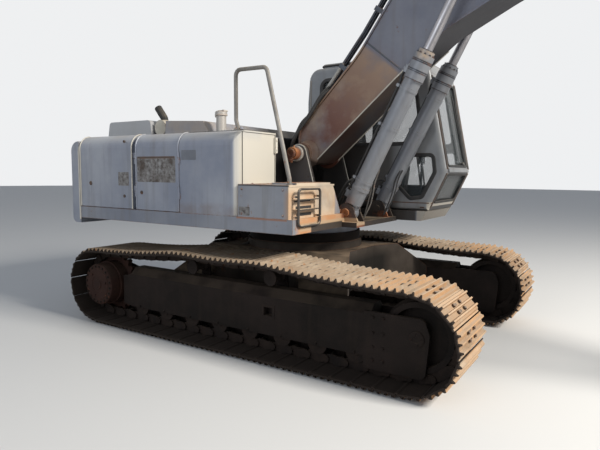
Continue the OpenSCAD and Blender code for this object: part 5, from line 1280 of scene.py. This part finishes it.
cover = lathe([(226, -6), (233, 2), (233, 112), (228, 121), (216, 127), (180, 129), (176, 134), (98, 137),
               (94, 133), (60, 133), (56, 140), (4, 141)], (-WHEEL_X, -1336, WHEEL_Z), (0, -1, 0), 64)
plugs = ring_of_bolts(-WHEEL_X, WHEEL_Z, -1471, 138, 3, 14, 9)
piece("final_drive_covers", both_sides(join(cover, plugs)), drive_paint, "undercarriage")
piece("final_drive_bolts", both_sides(ring_of_bolts(-WHEEL_X, WHEEL_Z, -1465, 204, 20, 11, 9)),
      chain_steel, "undercarriage")
axle_cap = lathe([(64, -4), (64, 8), (56, 12), (30, 12), (27, 8), (3, 8)], (WHEEL_X, -1332, WHEEL_Z),
                 (0, -1, 0), 32)
guard_bolts = [bolt((x, -1332, z), (0, -1, 0), 13, 10) for x in (1500, 1590) for z in (190, 300, 420, 550)]
caps = join(axle_cap, ring_of_bolts(WHEEL_X, WHEEL_Z, -1340, 43, 4, 7, 6), *guard_bolts)
piece("idler_caps", both_sides(caps), undercarriage_paint, "undercarriage")
# A dark rim round the adjuster's square hole makes the hole look larger: painted shade of the hole.
hole = [(x, -1327, z) for x, z in rectangle(370, 380, 496, 484)]
hole_shade_rim = sweep(hole, strip(30, 6), (0, -1, 0), closed=True)
piece("adjuster_hole_shade_rims", both_sides(hole_shade_rim), chain_steel, "undercarriage")
ridge = sweep([(-1460, -1290, 584), (1480, -1290, 584)], circle(6, 8), (0, 1, 0))
foot_bolts = [bolt((x, -1326, 224), (0, -1, 0), 12, 9) for x in np.linspace(-1330, 1330, 8)]
piece("track_frame_welds", both_sides(join(ridge, *foot_bolts)), undercarriage_paint, "undercarriage")

# %% Carbody
travel = [tube([(-240, -260 - d, 900), (-420, -420 - d, 940 - d), (-640, -700, 800 - d),
                (-900, -930, 640 - d), (-1250, -1020, 560 - d), (-1600, -1030, 500 - d)], 17, 8)
          for d in (0, 42)]
piece("travel_hoses", both_sides(join(*travel)), hose_rubber, "undercarriage")
cover_plate = slab_box((-840, -230, 896), (-540, 230, 906), 3)
eye_bolts = [bolt((x, y, 905), (0, 0, 1), 11, 9) for x in (-800, -580) for y in (-190, 190)]
piece("carbody_cover", join(cover_plate, *eye_bolts), carbody_paint, "undercarriage")

# %% [markdown]
# ## Boom, arm and bucket
# Every pin of the front has an end with a keeper plate or a retaining ring. Hoses cross from the boom to
# the arm in high loops, so that the arm can fold. The bucket carries wear strips, side cutters and tooth
# adapters.

# %% Pins of the front
ARM_PIVOT, TAIL, LEVER_SIDE, LIFT_EYE = (5250, 4200), (5523.62, 4951.75), (5097.98, 1774.02), (1930, 3600)
LEVER_END, CRANK, BUCKET_PIN = (5688.52, 1667.87), (5401.32, 1163.97), (4997.25, 1311.04)


def retainer(at, y, radius, thick=12.0, side=-1):
    """A ring and end plate with three bolts that keep a pin in its eye."""
    disc = lathe([(radius, -2), (radius, thick - 3), (radius - 4, thick), (4, thick)], (at[0], y, at[1]),
                 (0, side, 0), 28)
    return join(disc, ring_of_bolts(at[0], at[1], y + side * thick, radius * 0.55, 3, 8, 7, side))


boom_pins = join(pin_end(*ARM_PIVOT, -266, 44, -1, 200), pin_end(*CROWD_BASE, -94, 40, -1, 250))
piece("boom_pin_ends", both_sides(boom_pins), rusty_steel, "boom")
arm_pins = join(pin_end(*TAIL, -150, 46, -1, 170), pin_end(*CURL_BASE, -92, 38, -1, 20),
                retainer(LEVER_SIDE, -221, 46), retainer(BUCKET_PIN, -209, 58, 24))
piece("arm_pin_ends", both_sides(arm_pins), rusty_steel, "arm")
piece("lever_pin_ends", both_sides(retainer(LEVER_END, -215, 46)), rusty_steel, "levers")
piece("crank_pin_ends", both_sides(pin_end(*CRANK, -203, 40, -1, 300)), rusty_steel, "bucket")
rod_caps = join(*[retainer(LIFT_EYE, y, 58, 10, side) for y, side in ((-429, -1), (429, 1))])
piece("lift_rod_caps", rod_caps, rusty_steel, "boom_rods")

# %% Pipes and hoses of the front
upper_pipes, loops, curl_hoses, feed = [], [], [], []
for side in (-1, 1):
    across = (1, side, 1)
    upper_pipe = [(1996, 150, 4085), (2120, 168, 4072), (2300, 178, 4052), (3400, 178, 4190),
                  (4480, 178, 4324)]
    upper_pipes.append(tube(np.multiply(upper_pipe, across), 14, 10))
    loop = [(4450, 178, 4320), (4580, 180, 4346), (4780, 190, 4450), (5020, 196, 4590), (5300, 198, 4610),
            (5540, 196, 4480), (5640, 194, 4250), (5630, 190, 4080), (5560, 182, 3960), (5500, 178, 3900)]
    loops.append(tube(np.multiply(loop, across), 16, 10))
    curl_hose = [(5500, 178, 3900), (5530, 182, 3820), (5620, 176, 3730), (5740, 140, 3670), (5808, 66, 3648),
                 (5770, 12, 3632)]
    curl_hoses.append(tube(np.multiply(curl_hose, across), 13, 8))
    feed_hose = [(1990, 90, 4085), (2080, 88, 4130), (2190, 74, 4270), (2310, 42, 4392), (2416, 10, 4352)]
    feed.append(tube(np.multiply(feed_hose, across), 13, 8))
piece("boom_upper_pipes", join(*upper_pipes), dark_steel, "boom")
saddles = [slab_box((x - 16, -202, z - 60), (x + 16, -158, z + 20), 4)
           for x, z in ((2600, 4090), (3400, 4190), (4300, 4302))]
piece("boom_pipe_saddles", both_sides(join(*saddles)), boom_paint, "boom")
hose_across("arm_pivot_hoses", join(*loops), hose_rubber)
hose_across("arm_cylinder_hoses", join(*feed), hose_rubber)
hose_across("bucket_cylinder_hoses", join(*curl_hoses), hose_rubber)
hose_block = slab_box((5468, -198, 3872), (5532, -146, 3928), 6)
piece("arm_hose_blocks", both_sides(hose_block), dark_steel, "arm")

# %% Bucket
BACK = rounded([(170, 150), (240, 560, 140), (700, 830, 330), (1130, 560, 240), (1270, 40)], 8)


def on_bucket(part):
    """A part drawn in the bucket's own frame, x to the tooth tips, laid at the bucket's pin."""
    return turned(part, BUCKET_PIN, -115)


strips = []
for y in (-500, -250, 0, 250, 500):
    path = np.column_stack([BACK[6:-3, 0], np.full(len(BACK) - 9, float(y)), BACK[6:-3, 1]])
    strips.append(sweep(path, strip(68, 24), (0, 1, 0)))
adapter = rounded([(1150, 8, 10), (1312, 0, 8), (1312, 70, 10), (1270, 104, 14), (1150, 136, 10)], 3)
adapters = []
for y in range(-490, 491, 245):
    adapters += [prism(adapter, y - 52, y + 52), lathe([(13, -60), (13, 60)], (1292, y, 38), (0, 1, 0), 12)]
cutter = rounded([(1010, 40, 20), (1302, 12, 10), (1302, 60, 20), (1190, 250, 40), (1040, 330, 30)], 4)
cutter_bolts = [bolt((x, -586, z), (0, -1, 0), 15, 11) for x, z in ((1070, 90), (1170, 90), (1090, 240))]
piece("bucket_wear_strips", on_bucket(join(*strips)), bucket_steel, "bucket")
piece("bucket_tooth_adapters", on_bucket(join(*adapters)), bucket_steel, "bucket")
side_cutter = on_bucket(join(prism(cutter, -586, -558), *cutter_bolts))
piece("bucket_side_cutters", both_sides(side_cutter), bucket_steel, "bucket")

# %% [markdown]
# ## Inside the cab and at its door
# Small controls finish the cab: bellows at the foot of each control lever, grips, knobs, ribbed pedals, a
# monitor without any picture, a grab rail and the door's lock.

# %% Controls
controls = []
for y in (608, 1312):
    bellows_rows = [(38 - 2.4 * k - 5 * (k % 2), 9.0 * k) for k in range(9)]
    controls.append(lathe([(40, -4)] + bellows_rows + [(12, 84)], (662, y, 1826), (40, 0, 140), 20))
    controls.append(lathe([(15, 0), (21, 10), (22, 40), (18, 70), (23, 96), (18, 110), (4, 114)],
                          (686, y, 1916), (40, 0, 140), 18))
for y in (890, 1030):
    controls.append(lathe([(11, -30), (19, -20), (19, 22), (12, 32), (3, 34)], (1010, y, 1976),
                          (-70, 0, 450), 16))
    controls += [slab_box((x, y - 33, 1385), (x + 8, y + 33, 1392), 2) for x in range(1050, 1190, 22)]
controls += [slab_box((1150, 570, 1830), (1186, 690, 1950), 6),
             slab_box((1160, 620, 1380), (1180, 640, 1834), 3)]
piece("cab_controls", join(*controls), dark_plastic, "house")
rail = tube([(1300, 1418, 1700), (1310, 1462, 1712), (1330, 1466, 1760), (1220, 1466, 2480),
             (1205, 1460, 2530), (1196, 1414, 2540)], 14, 12)
piece("cab_grab_rail", rail, dark_plastic, "house")
door_lock = mirrored(moved(lock(1190, 1985, 16), (0, 4, 0)))
piece("cab_door_lock", door_lock, sooty_iron, "cab_door")

# %% [markdown]
# ## Floor and light
# A large soft lamp ahead of the machine stands in for a high sun, and the world fills the shade. The
# backdrop's brightness is seen only by the camera and in reflections, so it adds no light to the object.

# %% Floor
def studio_floor():
    """A flat disc: point = (r cos t, r sin t, 0)."""
    t = np.arange(64) * 2 * np.pi / 64
    points = np.column_stack([60 * np.cos(t), 60 * np.sin(t), np.full(64, -0.002)])
    mesh = bpy.data.meshes.new("floor")
    mesh.from_pydata(points.tolist(), [], [list(range(64))])
    material = bpy.data.materials.new("floor")
    material.use_nodes = True
    shader = material.node_tree.nodes["Principled BSDF"]
    shader.inputs["Base Color"].default_value = (0.6, 0.6, 0.6, 1)
    shader.inputs["Roughness"].default_value = 0.9
    mesh.materials.append(material)
    obj = bpy.data.objects.new("floor", mesh)
    bpy.context.scene.collection.objects.link(obj)


studio_floor()


# %% Lamps and world
def lamp(name, place, size, watts, color):
    """A square area lamp that faces the machine's middle."""
    data = bpy.data.lights.new(name, "AREA")
    data.shape, data.size, data.energy, data.color = "SQUARE", size, watts, color
    obj = bpy.data.objects.new(name, data)
    bpy.context.scene.collection.objects.link(obj)
    away = np.subtract(place, (0, 0, 1.5))
    back = away / np.linalg.norm(away)
    right = np.cross([0, 0, 1.0], back)
    right /= np.linalg.norm(right)
    turn = np.eye(4)
    turn[:3, :3] = np.column_stack([right, np.cross(back, right), back])
    turn[:3, 3] = place
    obj.matrix_world = Matrix(turn.tolist())


lamp("key", (9.5, -0.5, 8.5), 3.0, 2500, (1.0, 0.95, 0.86))
lamp("fill", (-3.0, -13.0, 5.0), 8.0, 380, (0.88, 0.94, 1.0))
world = bpy.data.worlds.new("world")
bpy.context.scene.world = world
world.use_nodes = True
tree = world.node_tree
tree.nodes.clear()
paths = add(tree, "ShaderNodeLightPath")
seen = maths(tree, "MAXIMUM", paths.outputs["Is Camera Ray"], paths.outputs["Is Glossy Ray"])
seen = maths(tree, "MAXIMUM", seen, paths.outputs["Is Transmission Ray"])
ambient = add(tree, "ShaderNodeBackground", {"Color": (0.80, 0.88, 1.0, 1), "Strength": 0.33}).outputs[0]
backdrop = add(tree, "ShaderNodeBackground", {"Color": (0.86, 0.87, 0.88, 1), "Strength": 1.0}).outputs[0]
sky = add(tree, "ShaderNodeMixShader", {0: seen, 1: ambient, 2: backdrop}).outputs[0]
add(tree, "ShaderNodeOutputWorld", {"Surface": sky})
bpy.context.scene.view_settings.view_transform = "Standard"
